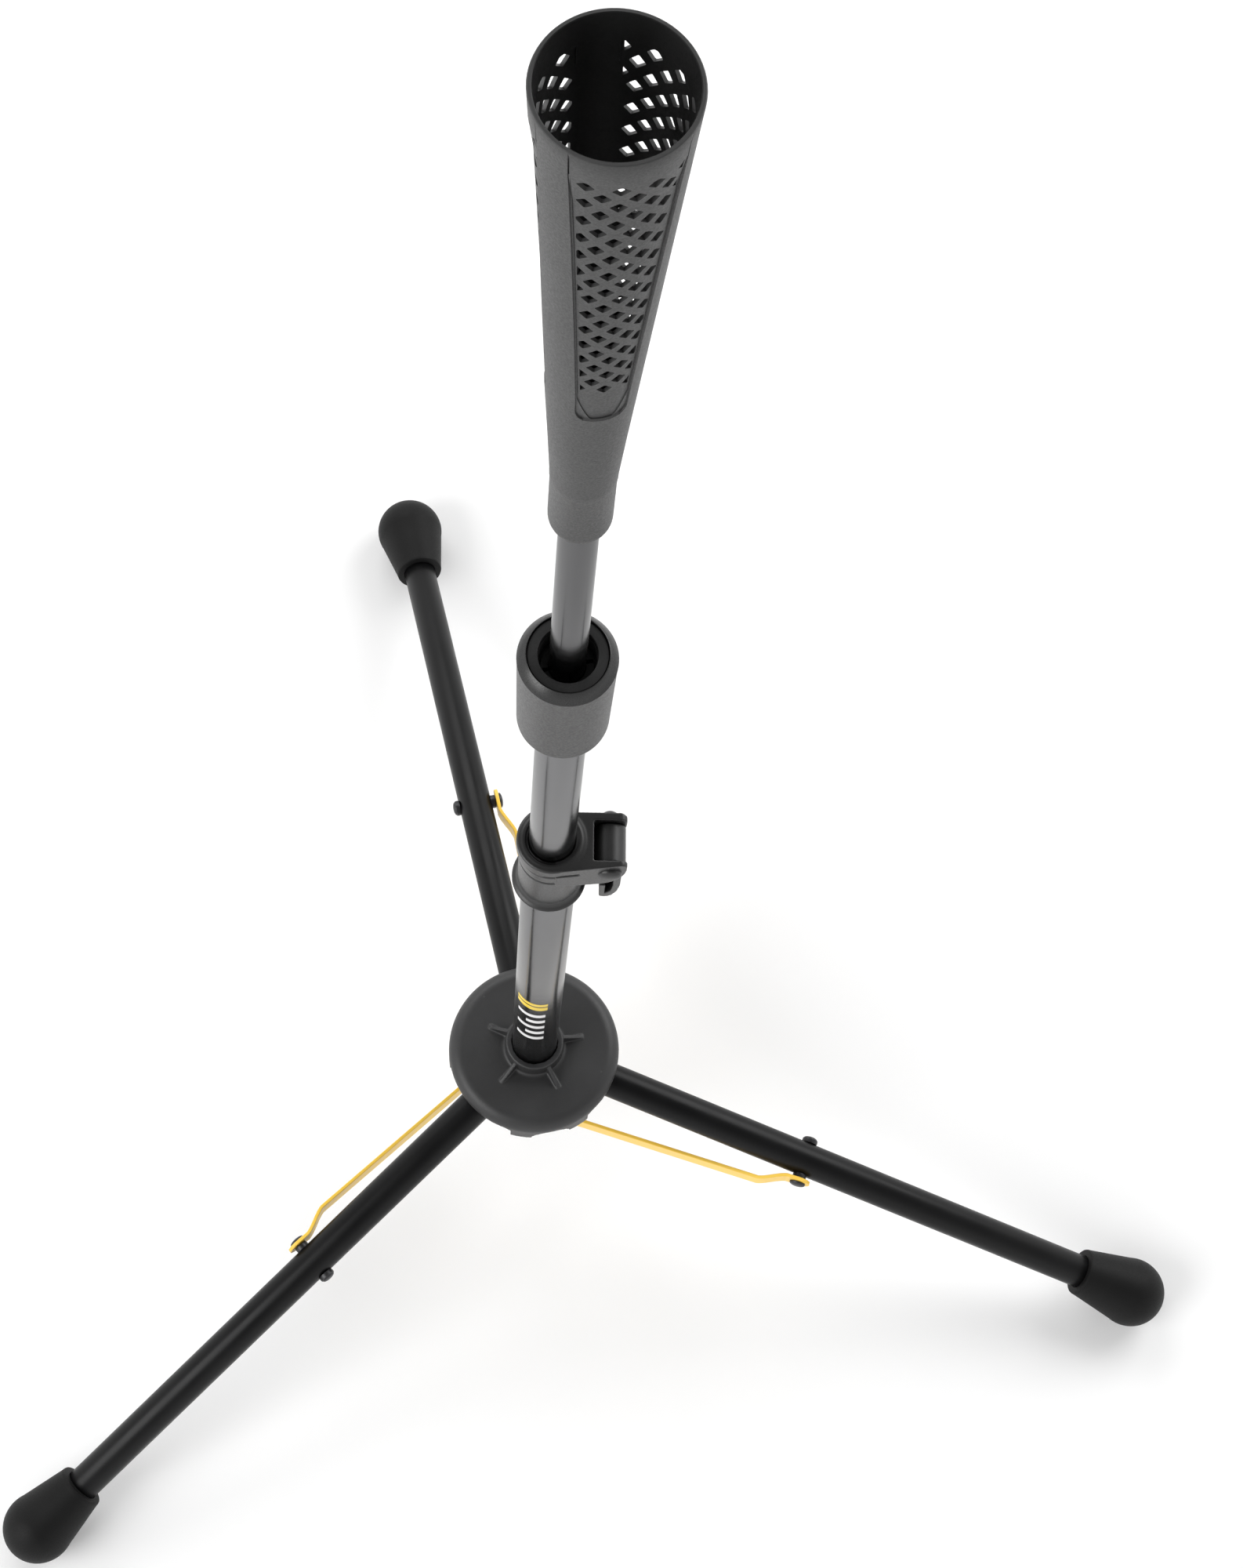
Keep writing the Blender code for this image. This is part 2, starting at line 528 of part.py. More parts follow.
def make_lever(place, upright):
    """Cam lever: a barrel between the ears with a plate handle that hangs down and curls in at its tip."""
    width = EAR_INNER - GAP
    barrel = turned("clamp_lever", rod_profile(CAM_RADIUS, -width, width))
    lever = add_object("clamp_lever", barrel, moulded_nylon(), place)
    outer, inner, tip = EAR_REACH - 1.6 * MM, CAM_REACH - 3.6 * MM, LEVER_TIP
    hook_top = tip + 18 * MM
    outline = [(outer, CAM_HEIGHT), (outer, hook_top), (outer - 1 * MM, tip + 9 * MM),
               (outer - 3.2 * MM, tip + 2.5 * MM), (outer - 5 * MM, tip + 0.4 * MM), (inner + 2 * MM, tip),
               (inner, tip + 1.5 * MM), (inner, hook_top), (inner + 2.8 * MM, hook_top),
               (inner + 3 * MM, tip + 4.5 * MM), (outer - 4 * MM, tip + 9 * MM),
               (outer - 3.2 * MM, hook_top), (outer - 4 * MM, CAM_HEIGHT)]
    join(lever, prism("handle", outline, -width, width), upright)
    hole = turned("hole", rod_profile(CLAMP_PIN_RADIUS + HOLE_CLEARANCE, -20 * MM, 20 * MM), SMALL_SEGMENTS)
    cut(lever, hole, place)


def make_collar():
    """Twist-lock collar: a threaded socket on the middle tube, a collet, and the outer grip."""
    bore = MIDDLE_RADIUS + GAP
    socket = tube_profile(SOCKET_RADIUS, bore, COLLAR_BOTTOM + 3 * MM, SOCKET_TOP)
    add_object("collar_socket", turned("collar_socket", socket), moulded_nylon())
    sleeve = tube_profile(MIDDLE_RADIUS - 0.2 * MM, UPPER_RADIUS + GAP, MIDDLE_TOP + GAP, COLLET_TOP)
    collet = add_object("collet", turned("collet", sleeve), moulded_nylon())
    for azimuth in (0, 90):
        slit = block("slit", (-20 * MM, -0.8 * MM, MIDDLE_TOP + 8 * MM), (20 * MM, 0.8 * MM, COLLAR_TOP))
        cut(collet, slit, around(azimuth))
    base = arc((12.6 * MM, COLLAR_BOTTOM + 6 * MM), 6 * MM, -90, 0, 5)
    seat = COLLAR_TOP - 4 * MM
    cavity = SOCKET_RADIUS + GAP
    profile = [(bore, COLLAR_BOTTOM)] + base
    profile += [(COLLAR_RADIUS, COLLAR_TOP - 5 * MM), (COLLAR_RADIUS - 0.3 * MM, COLLAR_TOP - 3.4 * MM),
                (COLLAR_SEAT_RADIUS + 0.3 * MM, COLLAR_TOP), (COLLAR_SEAT_RADIUS, COLLAR_TOP - 0.3 * MM),
                (COLLAR_SEAT_RADIUS, seat), (COLLAR_HOLE_RADIUS, seat), (COLLAR_HOLE_RADIUS, COLLET_TOP),
                (cavity, COLLET_TOP), (cavity, COLLAR_BOTTOM + 2.7 * MM), (bore, COLLAR_BOTTOM + 2.7 * MM)]
    add_object("twist_collar", turned("twist_collar", profile, 36), cup_rubber())
    ring = [(COLLAR_HOLE_RADIUS, seat + GAP), (COLLAR_SEAT_RADIUS - GAP, seat + GAP),
            (COLLAR_SEAT_RADIUS - GAP, COLLAR_TOP - 1 * MM),
            (COLLAR_HOLE_RADIUS + 0.6 * MM, COLLAR_TOP - 1 * MM),
            (COLLAR_HOLE_RADIUS, COLLAR_TOP - 1.6 * MM)]
    add_object("collar_ring", turned("collar_ring", ring, 36), moulded_nylon())


# ---- ball cup ----------------------------------------------------------------------------------
def cup_radius(height):
    """Outer radius of the cup's cone at a height."""
    return CUP_SOCKET_RADIUS + (height - CUP_SHOULDER) * CUP_TAPER


def window_half_angle(height):
    """Half the angle that a window spans at a height: full width, drawn in below the shoulder."""
    if height >= WINDOW_SHOULDER:
        share = (height - WINDOW_SHOULDER) / (WINDOW_TOP - WINDOW_SHOULDER)
        return WINDOW_FOOT_HALF_ANGLE + (WINDOW_HALF_ANGLE - WINDOW_FOOT_HALF_ANGLE) * share
    share = (height - WINDOW_BOTTOM) / (WINDOW_SHOULDER - WINDOW_BOTTOM)
    return WINDOW_FOOT_HALF_ANGLE * (WINDOW_TIP_SHARE + (1 - WINDOW_TIP_SHARE) * share)


def window_cutter():
    """Curved slab over a window's outline, which sinks it below the cup's outer surface."""
    heights = (WINDOW_BOTTOM, WINDOW_SHOULDER, (WINDOW_SHOULDER + WINDOW_TOP) / 2, WINDOW_TOP)
    columns = 8
    shape = bmesh.new()
    layers = []
    for depth in (-WINDOW_RECESS, 4 * MM):
        rows = []
        for height in heights:
            half = window_half_angle(height)
            radius = cup_radius(height) + depth
            angles = [-half + 2 * half * k / columns for k in range(columns + 1)]
            rows.append([shape.verts.new((radius * cos(a), radius * sin(a), height)) for a in angles])
        layers.append(rows)
    for rows in layers:
        for row, above in zip(rows, rows[1:]):
            for k in range(columns):
                shape.faces.new((row[k], row[k + 1], above[k + 1], above[k]))
    inner, outer = layers
    for end in (0, -1):
        for k in range(columns):
            shape.faces.new((inner[end][k], inner[end][k + 1], outer[end][k + 1], outer[end][k]))
        for k in range(len(heights) - 1):
            shape.faces.new((inner[k][end], inner[k + 1][end], outer[k + 1][end], outer[k][end]))
    return closed_mesh("window", shape)


def make_cup():
    """Tapered rubber cup with a socket for the upper tube, a thin rim and three recessed windows."""
    floor = UPPER_TOP + GAP
    cavity = CUP_SHOULDER + 22 * MM
    socket = UPPER_RADIUS + GAP
    centre_radius = CUP_SOCKET_RADIUS - 3.2 * MM
    rounding = [(centre_radius + 3.2 * MM * x, CUP_BOTTOM + 6 * MM + 6 * MM * y)
                for x, y in arc((0, 0), 1, -90, 0, 4)]
    profile = [(socket, CUP_BOTTOM)] + rounding + [(CUP_SOCKET_RADIUS, CUP_SHOULDER)]
    profile += [(cup_radius(h), h) for h in (WINDOW_BOTTOM, 1090 * MM, CUP_RIM - 7 * MM)]
    rim = CUP_RIM_RADIUS
    profile += [(rim, CUP_RIM - 0.6 * MM), (rim - 0.4 * MM, CUP_RIM), (rim - 1.2 * MM, CUP_RIM),
                (rim - 1.5 * MM, CUP_RIM - 0.6 * MM)]
    profile += [(cup_radius(h) - CUP_WALL, h) for h in (CUP_RIM - 6 * MM, 1090 * MM, WINDOW_BOTTOM, cavity)]
    profile += [(0, cavity), (0, floor), (socket, floor)]
    cup = add_object("ball_cup", turned("ball_cup", profile, 48), cup_rubber())
    for azimuth in WINDOW_AZIMUTHS:
        cut(cup, window_cutter(), around(azimuth))


def main():
    clear_scene()
    make_hub_cap()
    make_hub_core()
    make_hub_screws()
    make_runner()
    make_post_cap()
    for k, azimuth in enumerate(LEG_AZIMUTHS, 1):
        make_leg(k, azimuth)
        make_strut(k, azimuth)
    make_tube("lower_tube", LOWER_RADIUS, POST_BOTTOM, CLAMP_TOP - 3 * MM)
    make_tube("middle_tube", MIDDLE_RADIUS, MIDDLE_BOTTOM, MIDDLE_TOP)
    make_tube("upper_tube", UPPER_RADIUS, UPPER_BOTTOM, UPPER_TOP)
    lower_bore, middle_bore = LOWER_RADIUS - TUBE_WALL, MIDDLE_RADIUS - TUBE_WALL
    make_bush("clamp_liner", MIDDLE_RADIUS, lower_bore, LINER_BOTTOM, LINER_TOP)
    make_bush("middle_tube_bush", MIDDLE_RADIUS, lower_bore, MIDDLE_BOTTOM + 2 * MM,
              MIDDLE_BOTTOM + 2 * MM + BUSH_LENGTH)
    make_bush("upper_tube_bush", UPPER_RADIUS, middle_bore, UPPER_BOTTOM + 2 * MM,
              UPPER_BOTTOM + 2 * MM + BUSH_LENGTH)
    make_clamp()
    make_collar()
    make_cup()


main()
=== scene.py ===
"""Finished look of the batting tee: smooth moulded parts, a real mesh cup, tubes, paint and studio light."""
import json
from math import cos, pi, radians, sin

import bmesh
import bpy
from mathutils import Matrix, Vector


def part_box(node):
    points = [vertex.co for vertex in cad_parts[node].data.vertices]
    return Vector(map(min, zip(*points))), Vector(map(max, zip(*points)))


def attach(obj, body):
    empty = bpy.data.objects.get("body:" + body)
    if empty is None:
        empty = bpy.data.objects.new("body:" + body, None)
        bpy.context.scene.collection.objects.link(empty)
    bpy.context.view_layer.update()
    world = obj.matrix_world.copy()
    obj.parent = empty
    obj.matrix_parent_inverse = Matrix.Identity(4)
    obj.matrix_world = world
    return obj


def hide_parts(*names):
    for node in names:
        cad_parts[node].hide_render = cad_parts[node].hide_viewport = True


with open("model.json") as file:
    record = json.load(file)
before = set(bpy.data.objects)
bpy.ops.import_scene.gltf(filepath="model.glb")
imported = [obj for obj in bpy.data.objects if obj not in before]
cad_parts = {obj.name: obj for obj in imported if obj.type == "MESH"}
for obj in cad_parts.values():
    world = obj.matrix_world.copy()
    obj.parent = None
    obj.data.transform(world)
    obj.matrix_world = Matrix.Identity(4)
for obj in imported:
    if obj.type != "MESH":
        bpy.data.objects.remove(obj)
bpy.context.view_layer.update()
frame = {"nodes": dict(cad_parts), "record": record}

MM = 0.001
GAP = 0.3 * MM
JOINTS = {joint["name"]: joint for joint in frame["record"]["behaviour"]["joints"]}
MOUNTS = {mount["name"]: mount for mount in frame["record"]["mounts"]}

# ---- sizes shared with the frame ---------------------------------------------------------------
FOOT_CENTRE_HEIGHT = 19.6 * MM
FOOT_RADIUS = 20.5 * MM
FOOT_LIP_RADIUS = 14.2 * MM
FOOT_LENGTH = 36 * MM
LEG_RADIUS = 9.8 * MM
LEG_TUBE_START = 14 * MM             # from the hinge
LEG_TUBE_INSET = 12 * MM             # from the foot centre
LOWER_RADIUS = 12.7 * MM
TUBE_WALL = 1.2 * MM
STRUT_OFFSET = 20 * MM
STRUT_INNER_REACH = 29 * MM
BOLT_RADIUS = 2.5 * MM
STRUT_HALF_HEIGHT = 7 * MM
HUB_FACE_RADIUS = 41 * MM
HUB_RING_RADIUS = 16.3 * MM
HUB_TOP = 153 * MM
HUB_WALL = 3 * MM
RIB_COUNT = 5
RIB_START = 0
RIB_REACH = 28 * MM
SKIRT_BOTTOM = 145 * MM
SKIRT_HALF_WIDTH = 25.8 * MM         # of the cut between two tabs
SLOT_HALF_WIDTH = 10.8 * MM          # of the cut round a leg
STRIPE_HEIGHT = 286 * MM
LEG_AZIMUTHS = (90, -30, 210)
CUP_SHOULDER = 943 * MM
CUP_SOCKET_RADIUS = 11 * MM
CUP_RIM_RADIUS = 22.75 * MM
CUP_WALL = 1.8 * MM
CUP_FLOOR = 965 * MM
UPPER_TOP = 960 * MM
WINDOW_AZIMUTHS = (-90, 30, 150)
WINDOW_HALF_ANGLE = radians(43.4)    # at the top of a window
WINDOW_FOOT_HALF_ANGLE = radians(32) # at its shoulder
WINDOW_TOP = 1163 * MM
WINDOW_SHOULDER = 1024 * MM
WINDOW_BOTTOM = 1011 * MM
WINDOW_TIP_SHARE = 0.42
LEDGE = radians(1.1)                 # width of the ledge beside a window
LEDGE_DEPTH = 0.6 * MM
PANEL_DEPTH = 0.9 * MM
LATTICE_WALL = 1.2 * MM
COLUMN_PITCH = 4.75 * MM
ROW_PITCH = 10.2 * MM
HOLE_WIDTH = 5.3 * MM
HOLE_HEIGHT = 5.5 * MM
LATTICE_TOP = 1160 * MM
LATTICE_SHIFT = -2.8 * MM            # of the middle column of holes from the window's centre
LATTICE_DRIFT = 2.2 * MM             # sideways drift of the columns from the top to the foot
LATTICE_NARROWING = 0.12
CLAMP_AZIMUTH = -12.6
EAR_INNER = 9.4 * MM
EAR_BACK = 13 * MM
EAR_FRONT = 15.9 * MM                # outer face of the front ear, carried back to the pole axis
EAR_LEAN = 0.125                     # how fast that face draws in along the ear
EAR_REACH = 33.8 * MM
WEB_REACH = 18.7 * MM                # pole axis to the face behind the cam
CAM_REACH = 26.2 * MM
CAM_HEIGHT = 537.5 * MM
CAM_RADIUS = 7.2 * MM
FINE = 96                            # segments round a part that is seen close


# ---- materials ------------------------------------------------------------------------------------
def new_material(name):
    made = bpy.data.materials.new(name)
    made.use_nodes = True
    nodes = made.node_tree.nodes
    return made, nodes, made.node_tree.links, nodes["Principled BSDF"]


def noise(nodes, links, coordinates, scale, detail=3.0, roughness=0.55, stretch=(1, 1, 1)):
    """A noise texture read in object space, with its own stretch."""
    mapping = nodes.new("ShaderNodeMapping")
    mapping.inputs["Scale"].default_value = stretch
    links.new(coordinates.outputs["Object"], mapping.inputs["Vector"])
    texture = nodes.new("ShaderNodeTexNoise")
    texture.inputs["Scale"].default_value = scale
    texture.inputs["Detail"].default_value = detail
    texture.inputs["Roughness"].default_value = roughness
    links.new(mapping.outputs["Vector"], texture.inputs["Vector"])
    return texture


def ramp(nodes, links, source, low, high, start=0.3, end=0.7):
    """A colour ramp between two greys or colours, driven by a texture."""
    made = nodes.new("ShaderNodeValToRGB")
    made.color_ramp.elements[0].position = start
    made.color_ramp.elements[1].position = end
    made.color_ramp.elements[0].color = (*low, 1)
    made.color_ramp.elements[1].color = (*high, 1)
    links.new(source, made.inputs["Fac"])
    return made


def spread(nodes, links, source, low, high):
    """Map a 0-1 texture onto a range of values."""
    made = nodes.new("ShaderNodeMapRange")
    made.inputs["From Min"].default_value = 0.3
    made.inputs["From Max"].default_value = 0.7
    made.inputs["To Min"].default_value = low
    made.inputs["To Max"].default_value = high
    links.new(source, made.inputs["Value"])
    return made.outputs["Result"]


def bump(nodes, links, shader, heights):
    """Chain of bumps: each entry is a texture output, its strength and its depth in metres."""
    normal = None
    for source, strength, distance in heights:
        node = nodes.new("ShaderNodeBump")
        node.inputs["Strength"].default_value = strength
        node.inputs["Distance"].default_value = distance
        links.new(source, node.inputs["Height"])
        if normal is not None:
            links.new(normal, node.inputs["Normal"])
        normal = node.outputs["Normal"]
    links.new(normal, shader.inputs["Normal"])


def grained(name, dark, light, rough_low, rough_high, grain, grain_depth, specular=0.5, worn=None):
    """Moulded rubber or plastic: cloudy colour, fine spark grain, soft waviness and pale worn edges."""
    made, nodes, links, shader = new_material(name)
    place = nodes.new("ShaderNodeTexCoord")
    cloud = noise(nodes, links, place, 38, 4)
    fine = noise(nodes, links, place, grain, 2, 0.6)
    wave = noise(nodes, links, place, 60, 2)
    tone = ramp(nodes, links, cloud.outputs["Fac"], dark, light)
    colour = tone.outputs["Color"]
    if worn:
        geometry = nodes.new("ShaderNodeNewGeometry")
        edge = ramp(nodes, links, geometry.outputs["Pointiness"], (0, 0, 0), (1, 1, 1), 0.53, 0.62)
        mix = nodes.new("ShaderNodeMix")
        mix.data_type = "RGBA"
        links.new(edge.outputs["Color"], mix.inputs["Factor"])
        links.new(colour, mix.inputs["A"])
        mix.inputs["B"].default_value = (*worn, 1)
        colour = mix.outputs["Result"]
    links.new(colour, shader.inputs["Base Color"])
    links.new(spread(nodes, links, fine.outputs["Fac"], rough_low, rough_high), shader.inputs["Roughness"])
    shader.inputs["Specular IOR Level"].default_value = specular
    bump(nodes, links, shader, ((fine.outputs["Fac"], 0.35, grain_depth),
                                (wave.outputs["Fac"], 0.12, 0.3 * MM)))
    return made


def anodised_tube(name, low, high):
    """Satin gunmetal aluminium: drawn lines along the tube, faint handling marks."""
    made, nodes, links, shader = new_material(name)
    place = nodes.new("ShaderNodeTexCoord")
    lines = noise(nodes, links, place, 1400, 3, 0.6, (1, 1, 0.012))
    cloud = noise(nodes, links, place, 22, 3, 0.6, (1, 1, 0.3))
    scuff = noise(nodes, links, place, 420, 5, 0.7, (0.4, 0.4, 1))
    tone = ramp(nodes, links, cloud.outputs["Fac"], (low, low, low * 1.02), (high, high, high * 1.02))
    links.new(tone.outputs["Color"], shader.inputs["Base Color"])
    shader.inputs["Metallic"].default_value = 1.0
    shader.inputs["Specular Tint"].default_value = (0.8, 0.8, 0.8, 1)
    links.new(spread(nodes, links, scuff.outputs["Fac"], 0.15, 0.22), shader.inputs["Roughness"])
    bump(nodes, links, shader, ((lines.outputs["Fac"], 0.04, 0.03 * MM),))
    return made


def powder_coat(name, dark, light, rough_low, rough_high, peel=0.1, specular=0.5):
    """Sprayed enamel or powder coat: orange peel, small tone drift."""
    made, nodes, links, shader = new_material(name)
    place = nodes.new("ShaderNodeTexCoord")
    peel_texture = noise(nodes, links, place, 520, 2, 0.5)
    cloud = noise(nodes, links, place, 30, 4)
    tone = ramp(nodes, links, cloud.outputs["Fac"], dark, light)
    links.new(tone.outputs["Color"], shader.inputs["Base Color"])
    links.new(spread(nodes, links, cloud.outputs["Fac"], rough_low, rough_high), shader.inputs["Roughness"])
    shader.inputs["Specular IOR Level"].default_value = specular
    bump(nodes, links, shader, ((peel_texture.outputs["Fac"], peel, 0.12 * MM),))
    return made


def blackened_steel():
    """Fasteners: dark oxide steel with faint turning marks."""
    made, nodes, links, shader = new_material("blackened_steel")
    place = nodes.new("ShaderNodeTexCoord")
    marks = noise(nodes, links, place, 900, 4, 0.6)
    tone = ramp(nodes, links, marks.outputs["Fac"], (0.035, 0.035, 0.037), (0.06, 0.06, 0.063))
    links.new(tone.outputs["Color"], shader.inputs["Base Color"])
    shader.inputs["Metallic"].default_value = 0.75
    links.new(spread(nodes, links, marks.outputs["Fac"], 0.3, 0.45), shader.inputs["Roughness"])
    bump(nodes, links, shader, ((marks.outputs["Fac"], 0.1, 0.05 * MM),))
    return made


def studio_floor():
    """Pale sweep with barely any tone drift."""
    made, nodes, links, shader = new_material("studio_floor")
    place = nodes.new("ShaderNodeTexCoord")
    cloud = noise(nodes, links, place, 3, 2)
    tone = ramp(nodes, links, cloud.outputs["Fac"], (0.96, 0.96, 0.96), (0.975, 0.975, 0.975))
    links.new(tone.outputs["Color"], shader.inputs["Base Color"])
    shader.inputs["Roughness"].default_value = 0.9
    shader.inputs["Specular IOR Level"].default_value = 0.1
    return made


TUBE = anodised_tube("gunmetal_tube", 0.175, 0.20)
UPPER_TUBE = anodised_tube("dark_gunmetal_tube", 0.105, 0.125)
LEG_PAINT = powder_coat("black_leg_paint", (0.003, 0.003, 0.0032), (0.0045, 0.0045, 0.0048), 0.3, 0.4,
                        0.04, 0.2)
STRUT_PAINT = powder_coat("yellow_strut_paint", (0.91, 0.56, 0.06), (0.95, 0.62, 0.09), 0.32, 0.42)
MARK_YELLOW = powder_coat("yellow_print", (0.82, 0.58, 0.04), (0.86, 0.62, 0.05), 0.3, 0.4, 0.03)
MARK_WHITE = powder_coat("white_print", (0.74, 0.74, 0.74), (0.8, 0.8, 0.8), 0.35, 0.45, 0.03)
NYLON = grained("black_nylon", (0.017, 0.017, 0.0175), (0.023, 0.023, 0.0235), 0.42, 0.54,
                1500, 0.08 * MM, 0.5, (0.04, 0.04, 0.04))
CLAMP_NYLON = grained("clamp_nylon", (0.008, 0.008, 0.008), (0.011, 0.011, 0.011), 0.32, 0.44,
                      1500, 0.05 * MM, 0.55)
CUP_RUBBER = grained("cup_rubber", (0.016, 0.016, 0.016), (0.023, 0.023, 0.023), 0.44, 0.6,
                     1300, 0.12 * MM, 0.6, (0.035, 0.035, 0.035))
# Inside of the cup: the same rubber in a much darker tone, painted shade for the dim hollow of the cup.
CUP_INSIDE_SHADE = grained("cup_inside_painted_shade", (0.003, 0.003, 0.003), (0.005, 0.005, 0.005), 0.4, 0.5,
                     1300, 0.05 * MM, 0.25)
GRIP_RUBBER = grained("collar_grip", (0.017, 0.017, 0.017), (0.026, 0.026, 0.026), 0.42, 0.58,
                      1100, 0.16 * MM, 0.6)
# The collar's sloping top: a glossier finish of the same black rubber, with a darker tone that is painted shade
# on its upward faces.
GLOSSY_GRIP_WITH_PAINTED_SHADE = grained("collar_slope_painted_shade", (0.004, 0.004, 0.004), (0.008, 0.008, 0.008), 0.22, 0.4,
                     1700, 0.1 * MM, 0.5)
RING_NYLON = grained("ring_nylon", (0.006, 0.006, 0.006), (0.012, 0.012, 0.012), 0.4, 0.55,
                     1700, 0.1 * MM, 0.4)
FOOT_RUBBER = grained("foot_rubber", (0.003, 0.003, 0.003), (0.005, 0.005, 0.005), 0.5, 0.64,
                      1400, 0.06 * MM, 0.2)
STEEL = blackened_steel()


# ---- mesh helpers ---------------------------------------------------------------------------------
def mesh_from(name, shape, crease=35):
    bmesh.ops.recalc_face_normals(shape, faces=shape.faces[:])
    mesh = bpy.data.meshes.new(name)
    shape.to_mesh(mesh)
    shape.free()
    mesh.shade_smooth()
    mesh.set_sharp_from_angle(angle=radians(crease))
    return mesh


def turned(name, profile, segments=FINE, crease=35):
    """Revolve a closed outline of (radius, height) points about Z."""
    shape = bmesh.new()
    rings = []
    for radius, height in profile:
        count = 1 if radius == 0 else segments
        rings.append([shape.verts.new((radius * cos(2 * pi * k / segments),
                                       radius * sin(2 * pi * k / segments), height)) for k in range(count)])
    for ring, after in zip(rings, rings[1:] + rings[:1]):
        for k in range(segments):
            corners = [ring[k % len(ring)], ring[(k + 1) % len(ring)],
                       after[(k + 1) % len(after)], after[k % len(after)]]
            corners = list(dict.fromkeys(corners))
            if len(corners) > 2:
                shape.faces.new(corners)
    return mesh_from(name, shape, crease)


def prism(name, outline, bottom, top):
    """Extrude a closed outline of (x, y) points along Z."""
    shape = bmesh.new()
    lower = [shape.verts.new((x, y, bottom)) for x, y in outline]
    upper = [shape.verts.new((x, y, top)) for x, y in outline]
    shape.faces.new(lower)
    shape.faces.new(upper)
    for k in range(len(outline)):
        after = (k + 1) % len(outline)
        shape.faces.new((lower[k], lower[after], upper[after], upper[k]))
    return mesh_from(name, shape)


def block(name, low, high):
    outline = [(low[0], low[1]), (high[0], low[1]), (high[0], high[1]), (low[0], high[1])]
    return prism(name, outline, low[2], high[2])


def arc(centre, radius, start, end, steps):
    """Points (x, y) on an arc, angles in degrees, both ends included."""
    angles = [radians(start + (end - start) * k / steps) for k in range(steps + 1)]
    return [(centre[0] + radius * cos(a), centre[1] + radius * sin(a)) for a in angles]


def softened(outline, radius, steps=3):
    """Round every corner of a closed (radius, height) outline by about the given radius."""
    points = []
    count = len(outline)
    for k, (x, y) in enumerate(outline):
        here = Vector((x, y))
        before, after = Vector(outline[k - 1]), Vector(outline[(k + 1) % count])
        if x == 0:
            points.append((x, y))
            continue
        room = min((before - here).length, (after - here).length) * 0.45
        reach = min(radius, room)
        start = here + (before - here).normalized() * reach
        end = here + (after - here).normalized() * reach
        for n in range(steps + 1):
            t = n / steps
            point = start * (1 - t) ** 2 + here * 2 * t * (1 - t) + end * t ** 2
            points.append((point.x, point.y))
    return points


def piece(name, mesh, finish, body, nodes=(), matrix=None):
    """Link a mesh as a piece that rides on a body and stands for CAD nodes."""
    if matrix is not None:
        mesh.transform(matrix)
    item = bpy.data.objects.new(name, mesh)
    bpy.context.scene.collection.objects.link(item)
    mesh.materials.clear()
    mesh.materials.append(finish)
    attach(item, body)
    if nodes:
        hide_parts(*nodes)
    return item


def helper(mesh, matrix=None):
    """A loose object used only while a shape is made."""
    if matrix is not None:
        mesh.transform(matrix)
    item = bpy.data.objects.new("helper", mesh)
    bpy.context.scene.collection.objects.link(item)
    return item


def moulded(name, base, joins=(), cuts=(), voxel=0.5 * MM, smoothing=5, crease=50):
    """Join and cut closed meshes, then remesh and smooth them into one moulding with soft edges."""
    item = helper(base)
    extras = []
    for group, operation in ((joins, "UNION"), (cuts, "DIFFERENCE")):
        for mesh, matrix in group:
            tool = helper(mesh, matrix)
            extras.append(tool)
            step = item.modifiers.new("boolean", "BOOLEAN")
            step.operation = operation
            step.solver = "EXACT"
            step.object = tool
    remesh = item.modifiers.new("remesh", "REMESH")
    remesh.mode = "VOXEL"
    remesh.voxel_size = voxel
    smooth = item.modifiers.new("smooth", "SMOOTH")
    smooth.factor = 0.5
    smooth.iterations = smoothing
    bpy.context.view_layer.update()
    graph = bpy.context.evaluated_depsgraph_get()
    mesh = bpy.data.meshes.new_from_object(item.evaluated_get(graph))
    mesh.name = name
    for loose in [item] + extras:
        bpy.data.objects.remove(loose, do_unlink=True)
    mesh.shade_smooth()
    mesh.set_sharp_from_angle(angle=radians(crease))
    return mesh


ALONG_X = Matrix.Rotation(pi / 2, 4, "Y")
ALONG_Y = Matrix.Rotation(-pi / 2, 4, "X")
UPRIGHT = Matrix.Rotation(pi / 2, 4, "X")


def around(azimuth):
    return Matrix.Rotation(radians(azimuth), 4, "Z")


def axes_at(origin, x_axis, y_axis):
    """A frame from an origin and two directions at right angles."""
    x_axis, y_axis = x_axis.normalized(), y_axis.normalized()
    z_axis = x_axis.cross(y_axis)
    matrix = Matrix((x_axis, y_axis, z_axis)).transposed().to_4x4()
    matrix.translation = origin
    return matrix


def leg_frame(k):
    """Origin on the leg hinge, X down the leg, Y along the hinge; and the length to the foot centre."""
    joint = JOINTS[f"leg_{k}_fold"]
    pivot = Vector(joint["pos_m"])
    foot = Vector(MOUNTS[f"foot_{k}_sole"]["pos_m"]) + Vector((0, 0, FOOT_CENTRE_HEIGHT))
    return axes_at(pivot, foot - pivot, Vector(joint["axis"])), (foot - pivot).length


def bolt_frame(k):
    """Origin on the strut bolt, Z along the bolt (the leg hinge's direction)."""
    joint = JOINTS[f"strut_{k}_swing"]
    outward = Vector((joint["pos_m"][0], joint["pos_m"][1], 0))
    return axes_at(Vector(joint["pos_m"]), outward, Vector(joint["axis"])) @ ALONG_Y


# ---- pole -----------------------------------------------------------------------------------------
def make_tubes():
    """The three telescoping tubes with softened ends."""
    for node, body, finish in (("lower_tube", "pole_base", TUBE), ("middle_tube", "middle_section", TUBE),
                               ("upper_tube", "upper_section", UPPER_TUBE)):
        low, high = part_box(node)
        radius = (high[0] - low[0]) / 2
        inner = radius - TUBE_WALL
        outline = [(inner, low[2]), (radius, low[2]), (radius, high[2]), (inner, high[2])]
        mesh = turned(node, softened(outline, 0.35 * MM, 2))
        piece(node.replace("tube", "pole"), mesh, finish, body, [node])


